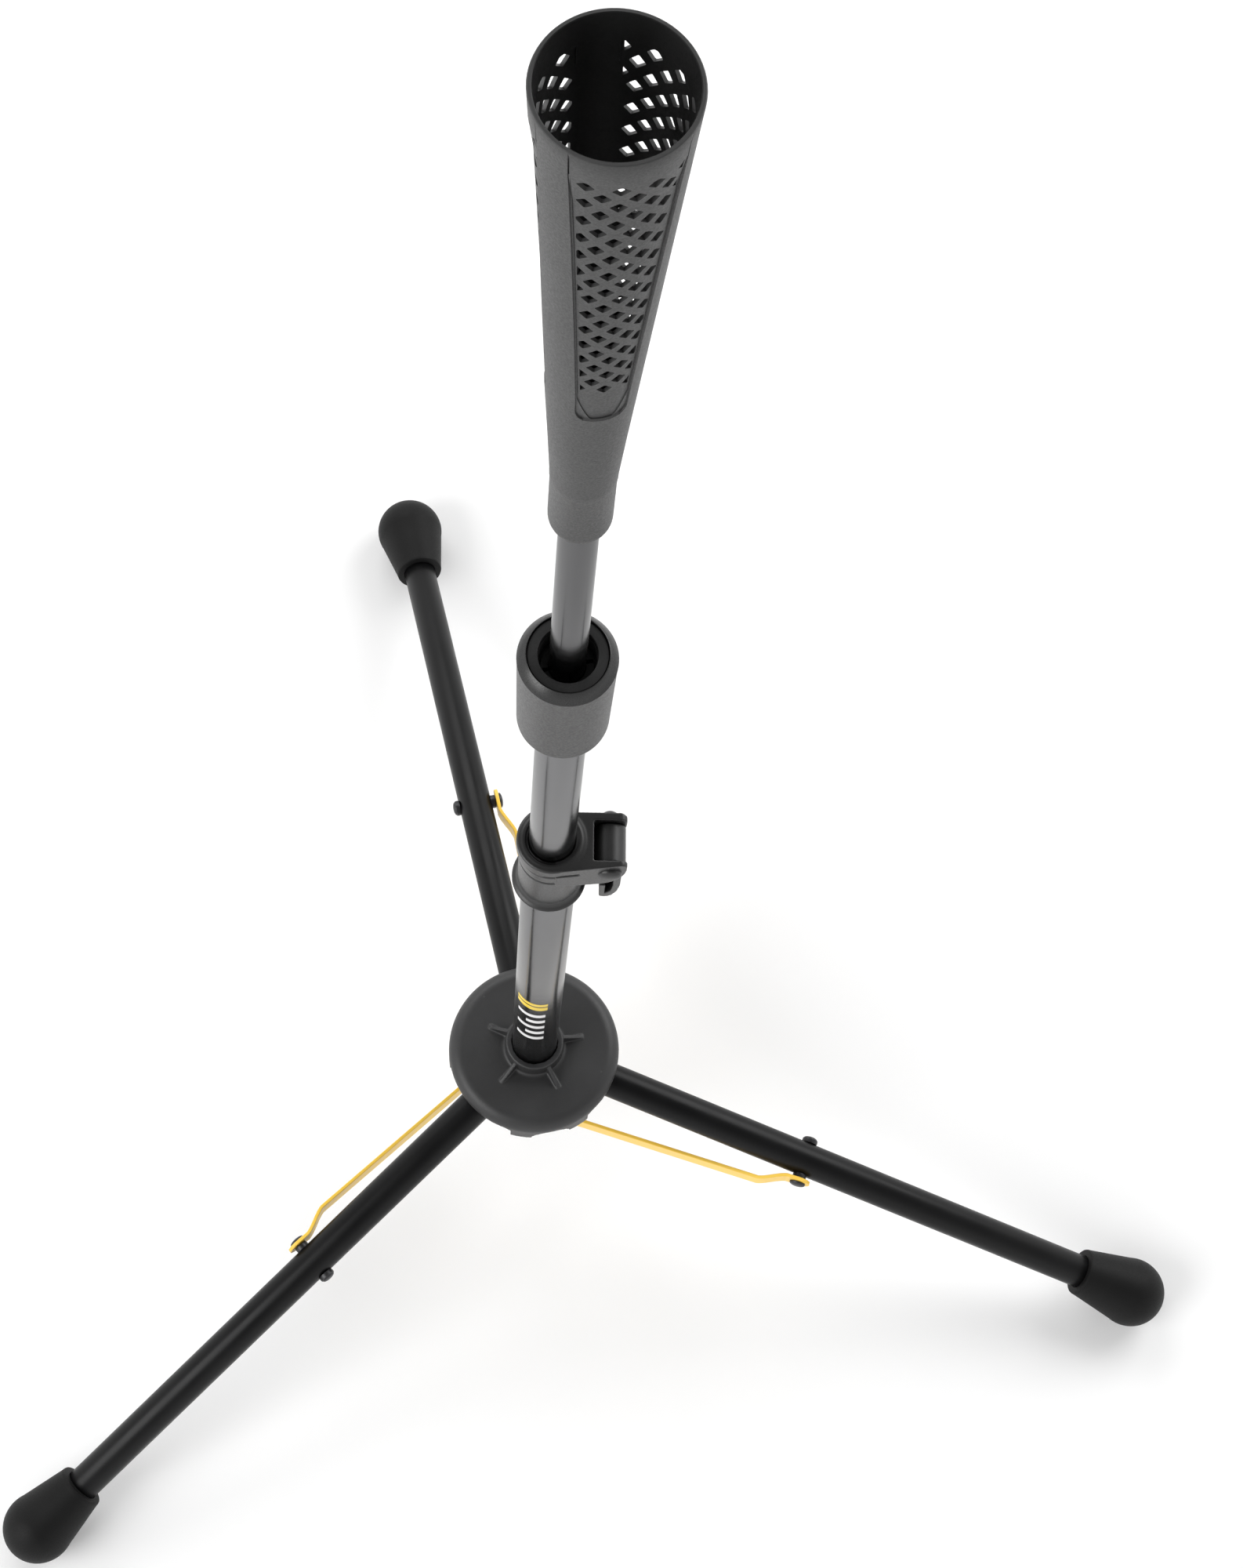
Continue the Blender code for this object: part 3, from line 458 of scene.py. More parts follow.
def printed_patch(name, finish, radius, start, end, bottom, top, slant=0.0):
    """A thin printed patch on the lower tube between two azimuths, rising by slant across its width."""
    columns = 24
    proud, sunk = 0.06 * MM, -0.2 * MM
    shape = bmesh.new()
    layers = []
    for depth in (proud, sunk):
        rows = []
        for share in (0, 1):
            row = []
            for k in range(columns + 1):
                t = k / columns
                angle = radians(start + (end - start) * t)
                height = bottom + (top - bottom) * share + slant * (t - 0.5)
                reach = radius + depth
                row.append(shape.verts.new((reach * cos(angle), reach * sin(angle), height)))
            rows.append(row)
        layers.append(rows)
    for rows in layers:
        for k in range(columns):
            shape.faces.new((rows[0][k], rows[0][k + 1], rows[1][k + 1], rows[1][k]))
    for row in (0, 1):
        for k in range(columns):
            shape.faces.new((layers[0][row][k], layers[0][row][k + 1],
                             layers[1][row][k + 1], layers[1][row][k]))
    for end_column in (0, columns):
        shape.faces.new((layers[0][0][end_column], layers[0][1][end_column],
                         layers[1][1][end_column], layers[1][0][end_column]))
    piece(name, mesh_from(name, shape), finish, "pole_base")


def make_pole_marks():
    """Printed band near the foot of the lower tube: a double yellow stripe over plain setting marks."""
    low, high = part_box("lower_tube")
    radius = (high[0] - low[0]) / 2
    start, end = -163, -82
    for name, bottom, top in (("upper", 8 * MM, 12.5 * MM), ("lower", 0, 6 * MM)):
        printed_patch(f"pole_stripe_{name}", MARK_YELLOW, radius, start, end,
                      STRIPE_HEIGHT + bottom, STRIPE_HEIGHT + top, -3 * MM)
    for k in range(5):
        bottom = STRIPE_HEIGHT - (16 + 12 * k) * MM
        left = start + (4 if k % 2 == 0 else 30)
        printed_patch(f"pole_mark_{k + 1}", MARK_WHITE, radius, left, end - 4, bottom, bottom + 5 * MM)


# ---- hub ------------------------------------------------------------------------------------------
def make_hub():
    """Moulded cap with a rolled edge, pole ring and triangular gussets."""
    low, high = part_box("hub_cap")
    radius = (high[0] - low[0]) / 2
    ring_top, tab_bottom = high[2], low[2]
    edge = radius - HUB_FACE_RADIUS
    centre = (HUB_FACE_RADIUS, HUB_TOP - edge)
    hole = LOWER_RADIUS + GAP
    outer = arc(centre, edge, 0, 90, 12)
    fillet = arc((HUB_RING_RADIUS + 2 * MM, HUB_TOP + 2 * MM), 2 * MM, 270, 180, 5)
    ring = [(HUB_RING_RADIUS, ring_top - 0.6 * MM), (HUB_RING_RADIUS - 0.6 * MM, ring_top), (hole, ring_top)]
    inner = arc(centre, edge - HUB_WALL, 90, 0, 8)
    profile = [(radius, tab_bottom)] + outer + fillet + ring + [(hole, HUB_TOP - HUB_WALL)] + inner
    profile.append((radius - HUB_WALL, tab_bottom))
    ribs = []
    for k in range(RIB_COUNT):
        root = HUB_RING_RADIUS - 1.2 * MM
        outline = [(root, HUB_TOP - 1 * MM), (RIB_REACH, HUB_TOP - 1 * MM), (RIB_REACH, HUB_TOP + 0.7 * MM),
                   (RIB_REACH - 1.5 * MM, HUB_TOP + 1.4 * MM), (root, ring_top - 1.6 * MM)]
        turn = around(RIB_START + 360 / RIB_COUNT * k)
        ribs.append((prism("rib", outline, -1.1 * MM, 1.1 * MM), turn @ UPRIGHT))
    cuts = []
    for azimuth in LEG_AZIMUTHS:
        slot_top = HUB_TOP - 10 * MM
        arch = arc((0, slot_top - SLOT_HALF_WIDTH), SLOT_HALF_WIDTH, 180, 0, 14)
        outline = [(-SLOT_HALF_WIDTH, 100 * MM)] + arch + [(SLOT_HALF_WIDTH, 100 * MM)]
        facing = around(azimuth + 90) @ UPRIGHT
        cuts.append((prism("slot", outline, -75 * MM, -35 * MM), facing))
        wide = SKIRT_HALF_WIDTH
        lift = [(-wide, 100 * MM), (-wide, SKIRT_BOTTOM - 3 * MM), (-wide + 3 * MM, SKIRT_BOTTOM),
                (wide - 3 * MM, SKIRT_BOTTOM), (wide, SKIRT_BOTTOM - 3 * MM), (wide, 100 * MM)]
        facing = around(azimuth + 150) @ UPRIGHT
        cuts.append((prism("arch", lift, -75 * MM, -10 * MM), facing))
    base = turned("hub", profile, 144)
    mesh = moulded("hub_moulding", base, ribs, cuts, 0.5 * MM, 4)
    piece("hub_moulding", mesh, NYLON, "pole_base", ["hub_cap"])


# ---- legs and struts ------------------------------------------------------------------------------
def make_foot_mesh(matrix):
    """Rubber tip: lip at the tube, cone opening into a ball, flat sole."""
    bore = LEG_RADIUS + GAP
    lip, length = FOOT_LIP_RADIUS, -FOOT_LENGTH
    blend = radians(108)
    steps = 26
    ball = [(FOOT_RADIUS * sin(blend * (1 - n / steps)), FOOT_RADIUS * cos(blend * (1 - n / steps)))
            for n in range(steps)]
    entry = [(bore, length), (lip - 1.2 * MM, length), (lip - 0.35 * MM, length + 0.35 * MM),
             (lip, length + 1.2 * MM), (lip + 0.1 * MM, length + 2.4 * MM), (lip + 0.3 * MM, length + 3.4 * MM)]
    last = entry[-1]
    cone = [(last[0] + (ball[0][0] - last[0]) * t, last[1] + (ball[0][1] - last[1]) * t) for t in (0.35, 0.7)]
    profile = entry + cone + ball + [(0, FOOT_RADIUS), (0, -11.5 * MM), (bore, -11.5 * MM)]
    mesh = turned("foot", profile, 72)
    mesh.transform(matrix)
    shape = bmesh.new()
    shape.from_mesh(mesh)
    cut = bmesh.ops.bisect_plane(shape, geom=shape.verts[:] + shape.edges[:] + shape.faces[:],
                                 plane_co=(0, 0, 0), plane_no=(0, 0, -1), clear_outer=True)
    edges = [item for item in cut["geom_cut"] if isinstance(item, bmesh.types.BMEdge)]
    bmesh.ops.holes_fill(shape, edges=edges)
    return mesh_from("foot", shape)


def make_leg(k):
    """Painted tube and rubber tip of one leg."""
    matrix, length = leg_frame(k)
    body = f"leg_{k}"
    start, end = LEG_TUBE_START, length - LEG_TUBE_INSET
    inner = LEG_RADIUS - TUBE_WALL
    outline = softened([(inner, start), (LEG_RADIUS, start), (LEG_RADIUS, end), (inner, end)], 0.4 * MM, 2)
    piece(f"leg_shaft_{k}", turned("leg_shaft", outline, 72), LEG_PAINT, body,
          [f"leg_tube_{k}"], matrix @ ALONG_X)
    foot = make_foot_mesh(matrix @ Matrix.Translation((length, 0, 0)) @ ALONG_X)
    piece(f"foot_tip_{k}", foot, FOOT_RUBBER, body, [f"foot_{k}"])


def strut_path(length):
    """Plan points (x, y, half height) of the flat bar, with eased bends at the jog."""
    half = STRUT_HALF_HEIGHT
    side = -LEG_RADIUS - 3.7 * MM
    rounds = [radians(a) for a in (6, 18, 30, 45, 60, 75, 90)]
    outer = [(half * cos(a), side, half * sin(a)) for a in rounds]
    start, end = -half, -half - 16 * MM
    jog = []
    for n in range(1, 16):
        t = n / 15
        ease = t * t * (3 - 2 * t)
        blended = 0.55 * t + 0.45 * ease
        jog.append((start + (end - start) * t, side + (-STRUT_OFFSET - side) * blended, half))
    inner = [(-length - half * cos(a), -STRUT_OFFSET, half * sin(a)) for a in reversed(rounds)]
    return outer + [(start, side, half)] + jog + inner


def ribbon(stations, thickness):
    """Flat bar standing on edge along plan points, with its long edges slightly rounded."""
    shape = bmesh.new()
    rings = []
    round_off = 0.35 * MM
    for k, (x, y, half) in enumerate(stations):
        before, after = stations[max(k - 1, 0)], stations[min(k + 1, len(stations) - 1)]
        run = Vector((after[0] - before[0], after[1] - before[1]))
        normal = Vector((-run.y, run.x)).normalized()
        thin = thickness / 2
        corners = ((thin, half - round_off), (thin, round_off - half), (thin - round_off, -half),
                   (round_off - thin, -half), (-thin, round_off - half), (-thin, half - round_off),
                   (round_off - thin, half), (thin - round_off, half))
        rings.append([shape.verts.new((x + s * normal.x, y + s * normal.y, z)) for s, z in corners])
    for ring, after in zip(rings, rings[1:]):
        for k in range(8):
            shape.faces.new((ring[k], ring[(k + 1) % 8], after[(k + 1) % 8], after[k]))
    shape.faces.new(rings[0])
    shape.faces.new(rings[-1])
    return mesh_from("strut_bar", shape, 40)


def dome(radius, height, start, steps=8):
    """Outline of a low dome from the axis out to its rim, bulging towards -Z from start."""
    points = [(0, start - height)]
    for n in range(1, steps + 1):
        a = pi / 2 * n / steps
        points.append((radius * sin(a), start - height * cos(a)))
    return points


def make_strut(k):
    """Flat spreader bar of one leg with its bolt, spacer, nut and rivet."""
    pivot = Vector(JOINTS[f"strut_{k}_swing"]["pos_m"])
    axis = Vector(JOINTS[f"strut_{k}_swing"]["axis"])
    low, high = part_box(f"runner_rivet_{k}")
    radial = Vector((pivot.x, pivot.y, 0)).normalized()
    inner = radial * STRUT_INNER_REACH + Vector((0, 0, (low[2] + high[2]) / 2))
    down_bar = pivot - inner
    matrix = axes_at(pivot, down_bar, axis)
    bar = ribbon(strut_path(down_bar.length), 2 * MM)
    piece(f"strut_bar_{k}", bar, STRUT_PAINT, f"strut_{k}", [f"strut_{k}"], matrix)

    place = bolt_frame(k)
    outside = -(LEG_RADIUS + 4.7 * MM + GAP)
    head = dome(4.6 * MM, 1.5 * MM, outside - 0.5 * MM) + [(4.7 * MM, outside), (BOLT_RADIUS, outside)]
    shank_end = LEG_RADIUS + GAP + 2.1 * MM
    bolt = head + [(BOLT_RADIUS, shank_end), (0, shank_end)]
    piece(f"leg_bolt_{k}", turned("leg_bolt", bolt, 40), STEEL, f"leg_{k}",
          [f"strut_bolt_{k}"], place)
    bore = BOLT_RADIUS + GAP
    sleeve = softened([(bore, -LEG_RADIUS - 2.4 * MM), (4 * MM, -LEG_RADIUS - 2.4 * MM),
                       (4 * MM, -LEG_RADIUS + 0.6 * MM), (bore, -LEG_RADIUS + 0.6 * MM)], 0.3 * MM)
    piece(f"leg_spacer_{k}", turned("leg_spacer", sleeve, 40), STEEL, f"leg_{k}",
          [f"strut_spacer_{k}"], place)
    rise = LEG_RADIUS + GAP
    cap = [(r, 2 * rise + 2.2 * MM - z) for r, z in dome(4 * MM, 1.4 * MM, rise)]
    nut = cap + [(4.5 * MM, rise + 1.9 * MM), (4.6 * MM, rise + 0.5 * MM), (4.4 * MM, rise - 0.4 * MM),
                 (0, rise - 0.4 * MM)]
    piece(f"leg_nut_{k}", turned("leg_nut", nut, 40), STEEL, f"leg_{k}",
          [f"strut_nut_{k}"], place)
    face = STRUT_OFFSET + 1 * MM
    rivet_place = axes_at(inner, radial, axis) @ ALONG_Y
    rivet = dome(3.6 * MM, 1.9 * MM, -face) + [(0, 1 * MM - STRUT_OFFSET)]
    piece(f"strut_rivet_{k}", turned("strut_rivet", rivet, 32), STEEL, f"strut_{k}",
          [f"runner_rivet_{k}"], rivet_place)


# ---- clamp and collar -----------------------------------------------------------------------------
def make_clamp():
    """Grooved sleeve with a lip at each end, a flat top plate and two ears for the cam lever."""
    low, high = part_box("clamp_body")
    bottom, top = low[2], high[2]
    bore, lip_bore, sleeve = 13.0 * MM, 10.7 * MM, 14.6 * MM
    profile = [(bore, bottom), (16.6 * MM, bottom), (17.3 * MM, bottom + 0.6 * MM),
               (17.3 * MM, bottom + 1.4 * MM), (16.7 * MM, bottom + 2 * MM),
               (15.6 * MM, bottom + 2.8 * MM), (sleeve, bottom + 5 * MM),
               (sleeve, top - 23 * MM), (sleeve - 0.7 * MM, top - 22.4 * MM),
               (sleeve - 0.7 * MM, top - 20.8 * MM),
               (sleeve + 0.2 * MM, top - 20 * MM), (sleeve + 0.3 * MM, top - 13 * MM),
               (sleeve - 0.4 * MM, top - 12 * MM), (sleeve - 0.4 * MM, top - 10 * MM), (16 * MM, top - 8 * MM),
               (16 * MM, top - 1.2 * MM), (15.4 * MM, top - 0.5 * MM), (14 * MM, top - 0.3 * MM),
               (13.4 * MM, top), (12.2 * MM, top), (11.6 * MM, top - 1.2 * MM),
               (lip_bore, top - 1.2 * MM), (lip_bore, top - 2.7 * MM), (bore, top - 2.7 * MM)]
    turn = around(CLAMP_AZIMUTH)
    upright = turn @ UPRIGHT
    lean = Matrix.Identity(4)
    lean[1][0] = EAR_LEAN
    swept = turn @ lean
    plate, root, tangent = top - 0.7 * MM, 2 * MM, EAR_REACH - 11 * MM
    under = [(tangent + 11 * MM * sin(radians(a)), 540 * MM - 17.5 * MM * cos(radians(a)))
             for a in range(0, 91, 10)]
    end = under + arc((EAR_REACH - 3 * MM, plate - 3 * MM), 3 * MM, 0, 90, 5)
    ear = [(root, 526 * MM), (12 * MM, 523.5 * MM)] + end + [(root, plate)]
    back = [(11 * MM, 523.5 * MM)] + end + [(11 * MM, plate)]
    joins = [(prism("front_ear", ear, EAR_INNER - 1.5 * MM, EAR_FRONT), swept @ UPRIGHT),
             (prism("back_ear", back, -EAR_BACK, -EAR_INNER), upright),
             (block("web", (9 * MM, -12 * MM, 524 * MM), (WEB_REACH, 12.5 * MM, plate)), turn)]
    place = turn @ Matrix.Translation((CAM_REACH, 0, CAM_HEIGHT)) @ ALONG_Y
    hole = turned("hole", [(0, -20 * MM), (2.4 * MM, -20 * MM), (2.4 * MM, 20 * MM), (0, 20 * MM)], 32)
    core = turned("core", [(0, 500 * MM), (bore, 500 * MM), (bore, top - 2.7 * MM), (lip_bore, top - 2.7 * MM),
                           (lip_bore, 600 * MM), (0, 600 * MM)])
    groove = block("groove", (-4 * MM, -EAR_FRONT - 2 * MM, 538.6 * MM),
                   (12.5 * MM, -EAR_FRONT + 1.1 * MM, 541 * MM))
    corner = Matrix.Translation((EAR_REACH, 13.6 * MM, 0)) @ Matrix.Rotation(radians(-24), 4, "Z")
    cuts = [(hole, place), (core, Matrix.Identity(4)), (groove, swept),
            (block("slot", (WEB_REACH, -EAR_INNER, 500 * MM), (50 * MM, EAR_INNER, 600 * MM)), turn),
            (block("corner", (-12 * MM, -1.6 * MM, 500 * MM), (12 * MM, 9 * MM, 600 * MM)), turn @ corner)]
    base = turned("clamp", profile, 96)
    base.transform(turn)
    mesh = moulded("clamp_moulding", base, joins, cuts, 0.4 * MM, 4)
    piece("clamp_moulding", mesh, CLAMP_NYLON, "pole_base", ["clamp_body"])

    seat = -12.5 * MM
    pin = dome(5.3 * MM, 2.3 * MM, seat - 0.6 * MM, 10)
    pin += [(5.4 * MM, seat), (5.3 * MM, seat + 0.6 * MM), (2.2 * MM, seat + 0.6 * MM), (2.2 * MM, 14 * MM),
            (0, 14 * MM)]
    piece("lever_pin", turned("lever_pin", pin, 48), CLAMP_NYLON, "pole_base",
          ["clamp_pin"], place)
    cap = [(r, -z) for r, z in dome(4.4 * MM, 3.4 * MM, -EAR_BACK - GAP, 8)] + [(0, EAR_BACK + GAP)]
    piece("lever_pin_cap", turned("lever_pin_cap", cap, 40), STEEL, "pole_base",
          ["clamp_pin_cap"], place)
    make_lever(place, upright)


def make_lever(place, upright):
    """Cam barrel with a plate handle that hangs down and curls in at its tip when the clamp is shut."""
    width = EAR_INNER - GAP
    tip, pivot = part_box("clamp_lever")[0][2], CAM_HEIGHT
    outline = [(0, -width), (CAM_RADIUS, -width), (CAM_RADIUS, width), (0, width)]
    barrel = turned("barrel", softened(outline, 0.5 * MM), 64)
    barrel.transform(place)
    outer, inner = 32.2 * MM, 22.6 * MM
    outline = [(outer, pivot), (outer, tip + 18 * MM), (outer - 1 * MM, tip + 9 * MM),
               (outer - 3.2 * MM, tip + 2.5 * MM), (outer - 5 * MM, tip + 0.4 * MM),
               (inner + 2 * MM, tip), (inner + 0.5 * MM, tip + 1.2 * MM),
               (inner, tip + 18 * MM), (inner + 2.8 * MM, tip + 18 * MM), (inner + 3 * MM, tip + 4.5 * MM),
               (outer - 4 * MM, tip + 9 * MM), (outer - 3.2 * MM, tip + 18 * MM), (outer - 4 * MM, pivot)]
    bore = turned("bore", [(0, -20 * MM), (2.5 * MM, -20 * MM), (2.5 * MM, 20 * MM), (0, 20 * MM)], 32)
    mesh = moulded("lever_moulding", barrel, [(prism("handle", outline, -width, width), upright)],
                   [(bore, place)], 0.35 * MM, 4)
    piece("lever_moulding", mesh, CLAMP_NYLON, "clamp_lever", ["clamp_lever"])


def make_collar():
    """Grip with a sloping top ring, and the flat ring seated inside it."""
    low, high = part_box("twist_collar")
    bottom, top = low[2], high[2]
    radius, seat_radius, hole, cavity, bore = 19.3 * MM, 15.7 * MM, 11.15 * MM, 14.7 * MM, 10.7 * MM
    foot = arc((15 * MM, bottom + 3.4 * MM), 3.4 * MM, -90, 0, 8)
    seat = top - 4 * MM
    profile = [(bore, bottom)] + foot
    profile += [(radius - 0.15 * MM, top - 6.4 * MM), (radius, top - 5.6 * MM), (radius, top - 5.2 * MM),
                (radius - 0.5 * MM, top - 4.5 * MM), (seat_radius + 0.5 * MM, top - 0.15 * MM),
                (seat_radius + 0.2 * MM, top), (seat_radius, top - 0.2 * MM), (seat_radius, seat), (hole, seat),
                (hole, top - 13 * MM), (cavity, top - 13 * MM), (cavity, bottom + 2.7 * MM),
                (bore, bottom + 2.7 * MM)]
    grip = piece("collar_grip", turned("collar_grip", profile, 128), GRIP_RUBBER, "twist_collar",
                 ["twist_collar"])
    # Faces near the top take the glossier material, whose darker tone is painted shade.
    grip.data.materials.append(GLOSSY_GRIP_WITH_PAINTED_SHADE)
    for polygon in grip.data.polygons:
        if polygon.center.z > top - 5.1 * MM:
            polygon.material_index = 1
    low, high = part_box("collar_ring")
    outer = (high[0] - low[0]) / 2
    ring = softened([(hole, low[2]), (outer, low[2]), (outer, high[2]), (hole + 0.3 * MM, high[2])], 0.3 * MM)
    piece("collar_seat_ring", turned("collar_seat_ring", ring, 128), RING_NYLON, "twist_collar",
          ["collar_ring"])


# ---- ball cup -------------------------------------------------------------------------------------
CUP_LOW, CUP_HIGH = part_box("ball_cup")
CUP_TAPER = (CUP_RIM_RADIUS - CUP_SOCKET_RADIUS) / (CUP_HIGH[2] - CUP_SHOULDER)


def cup_radius(height):
    """Outer radius of the cone at a height."""
    return CUP_SOCKET_RADIUS + (height - CUP_SHOULDER) * CUP_TAPER


def window_half_angle(height):
    """Half the angle a window spans: full width down to its shoulder, then drawn in to a blunt tip."""
    if height >= WINDOW_SHOULDER:
        share = (height - WINDOW_SHOULDER) / (WINDOW_TOP - WINDOW_SHOULDER)
        return WINDOW_FOOT_HALF_ANGLE + (WINDOW_HALF_ANGLE - WINDOW_FOOT_HALF_ANGLE) * share
    share = max(0, (height - WINDOW_BOTTOM) / (WINDOW_SHOULDER - WINDOW_BOTTOM))
    return WINDOW_FOOT_HALF_ANGLE * (WINDOW_TIP_SHARE + (1 - WINDOW_TIP_SHARE) * share ** 0.7)


def ledge_half_angle(height):
    """Half the angle of the sunk border round a window: it stays wide at the foot, with round corners."""
    share = min(1, max(0, (height - WINDOW_BOTTOM) / (5 * MM)))
    wide = max(window_half_angle(height), WINDOW_FOOT_HALF_ANGLE)
    return (wide + LEDGE) * (0.72 + 0.28 * (1 - (1 - share) ** 2) ** 0.5)


def cup_rows():
    """Outer and inner outlines of the cup wall as matching lists, row by row up the wall."""
    heights = [WINDOW_BOTTOM + step * MM for step in (0, 0.5, 1.2, 2.2, 3.5, 5, 7, 9, 11)]
    heights += [WINDOW_SHOULDER + (WINDOW_TOP - WINDOW_SHOULDER) * n / 12 for n in range(13)]
    outer = [(cup_radius(h), h) for h in heights]
    inner = [(cup_radius(h) - CUP_WALL, h) for h in heights]
    return heights, outer, inner


def cup_loop():
    """The whole closed outline of the cup, and where the window rows start in it, outside and inside."""
    heights, outer, inner = cup_rows()
    rim, top, bottom = CUP_RIM_RADIUS, CUP_HIGH[2], CUP_LOW[2]
    socket = 7.4 * MM
    centre_radius = CUP_SOCKET_RADIUS - 3.2 * MM
    rounding = [(centre_radius + 3.2 * MM * cos(radians(a)), bottom + 6 * MM + 6 * MM * sin(radians(a)))
                for a in range(-90, 1, 10)]
    lower = [(socket, bottom)] + rounding + [(CUP_SOCKET_RADIUS, CUP_SHOULDER - 0.8 * MM),
                                             (CUP_SOCKET_RADIUS + 0.25 * MM, CUP_SHOULDER)]
    lower.append((cup_radius(CUP_SHOULDER + 3 * MM) + 0.12 * MM, CUP_SHOULDER + 3 * MM))
    lower += [(cup_radius(h), h) for h in (975 * MM, 1000 * MM, WINDOW_BOTTOM - 0.6 * MM)]
    bead = [(cup_radius(top - 6 * MM), top - 6 * MM), (rim, top - 0.5 * MM), (rim - 0.12 * MM, top - 0.15 * MM),
            (rim - 0.35 * MM, top), (rim - 1.15 * MM, top), (rim - 1.4 * MM, top - 0.15 * MM),
            (rim - 1.5 * MM, top - 0.5 * MM), (cup_radius(top - 6 * MM) - CUP_WALL, top - 6 * MM)]
    deep = [(cup_radius(h) - CUP_WALL, h) for h in (1000 * MM, 980 * MM, CUP_FLOOR + 1.5 * MM)]
    base = [(cup_radius(CUP_FLOOR) - CUP_WALL - 1.5 * MM, CUP_FLOOR), (0, CUP_FLOOR), (0, UPPER_TOP + GAP),
            (socket, UPPER_TOP + GAP)]
    profile = lower + outer + bead + inner[::-1] + deep + base
    first_outer = len(lower)
    first_inner = len(lower) + len(outer) + len(bead)
    return profile, first_outer, first_inner, len(heights)


def cup_columns(height):
    """Azimuths of the wall's columns at a height: window columns, then band columns, three times over."""
    window_steps, band_steps = 18, 14
    half, ledge = window_half_angle(height), ledge_half_angle(height)
    step = radians(0.35)
    angles = []
    for azimuth in sorted(WINDOW_AZIMUTHS):
        middle = radians(azimuth)
        angles += [middle - half + 2 * half * n / window_steps for n in range(window_steps)]
        start, gap = ledge + step, 2 * pi / 3 - 2 * (ledge + step)
        angles += [middle + half, middle + ledge]
        angles += [middle + start + gap * n / (band_steps - 4) for n in range(band_steps - 3)]
        angles += [middle + 2 * pi / 3 - ledge]
    return angles, window_steps, band_steps


def ledge_drop(ring, column, first_outer, rows, window_steps, band_steps):
    """How far a point of the outer skin is sunk to form the border round a window."""
    place = column % (window_steps + band_steps)
    row = ring - first_outer
    if row == 0 and place <= window_steps + 1:
        return LEDGE_DEPTH
    beside_window = place in (0, window_steps) and 0 <= row < rows - 1
    beside_band = place in (window_steps + 1, window_steps + band_steps - 1) and 0 <= row <= rows
    return LEDGE_DEPTH if beside_window or beside_band else 0


def make_cup_wall():
    """Cup wall as one closed skin with three window openings."""
    profile, first_outer, first_inner, rows = cup_loop()
    shape = bmesh.new()
    rings = []
    for radius, height in profile:
        clamped = min(max(height, WINDOW_BOTTOM), WINDOW_TOP)
        angles, window_steps, band_steps = cup_columns(clamped)
        if radius == 0:
            rings.append([shape.verts.new((0, 0, height))] * len(angles))
        else:
            ring = []
            for k, a in enumerate(angles):
                reach = radius - ledge_drop(len(rings), k, first_outer, rows, window_steps, band_steps)
                ring.append(shape.verts.new((reach * cos(a), reach * sin(a), height)))
            rings.append(ring)
    total = len(rings[0])
    sector = window_steps + band_steps
    outer_rows = range(first_outer, first_outer + rows - 1)
    inner_rows = range(first_inner, first_inner + rows - 1)
    for index in range(len(rings)):
        ring, after = rings[index], rings[(index + 1) % len(rings)]
        for k in range(total):
            in_window = k % sector < window_steps
            if in_window and (index in outer_rows or index in inner_rows):
                continue
            step = (k + 1) % total
            corners = list(dict.fromkeys((ring[k], ring[step], after[step], after[k])))
            if len(corners) > 2:
                shape.faces.new(corners)
    last_inner = first_inner + rows - 1
    for turn in range(3):
        left = turn * sector
        right = left + window_steps
        for n in range(rows - 1):
            for column in (left, right):
                shape.faces.new((rings[first_outer + n][column], rings[first_outer + n + 1][column],
                                 rings[last_inner - n - 1][column], rings[last_inner - n][column]))
        for k in range(left, right):
            for outer_ring, inner_ring in ((first_outer, last_inner), (first_outer + rows - 1, first_inner)):
                shape.faces.new((rings[outer_ring][k], rings[outer_ring][k + 1],
                                 rings[inner_ring][k + 1], rings[inner_ring][k]))
    loose = [vert for vert in shape.verts if not vert.link_faces]
    bmesh.ops.delete(shape, geom=loose, context="VERTS")
    return mesh_from("cup_wall", shape, 30)


def paint_shade_inside(mesh):
    """Put the second material, a darker copy of the rubber that is painted shade, on the faces that look in
    towards the axis.
    """
    for polygon in mesh.polygons:
        centre = polygon.center
        outward = Vector((centre.x, centre.y, 0)).normalized()
        if polygon.normal.dot(outward) < -0.3 and centre.z > CUP_FLOOR:
            polygon.material_index = 1


def clip(polygon, outline):
    """Clip a polygon by a convex outline that runs anticlockwise (Sutherland-Hodgman)."""
    result = polygon
    for k, start in enumerate(outline):
        end = outline[(k + 1) % len(outline)]
        edge = end - start
        inside = [edge.x * (p - start).y - edge.y * (p - start).x >= 0 for p in result]
        clipped = []
        for n, point in enumerate(result):
            before = result[n - 1]
            if inside[n] != inside[n - 1]:
                span = point - before
                rate = edge.x * span.y - edge.y * span.x
                offset = edge.x * (start - before).y - edge.y * (start - before).x
                clipped.append(before + span * (offset / rate))
            if inside[n]:
                clipped.append(point)
        result = clipped
        if not result:
            return []
    return result


def area(polygon):
    return abs(sum(polygon[k - 1].x * p.y - polygon[k - 1].y * p.x for k, p in enumerate(polygon))) / 2


def rounded(polygon, radius):
    """Replace each corner by three points on a small curve."""
    points = []
    for k, here in enumerate(polygon):
        before, after = polygon[k - 1], polygon[(k + 1) % len(polygon)]
        reach = min(radius, (before - here).length * 0.4, (after - here).length * 0.4)
        start = here + (before - here).normalized() * reach
        end = here + (after - here).normalized() * reach
        points += [start, start * 0.25 + here * 0.5 + end * 0.25, end]
    return points


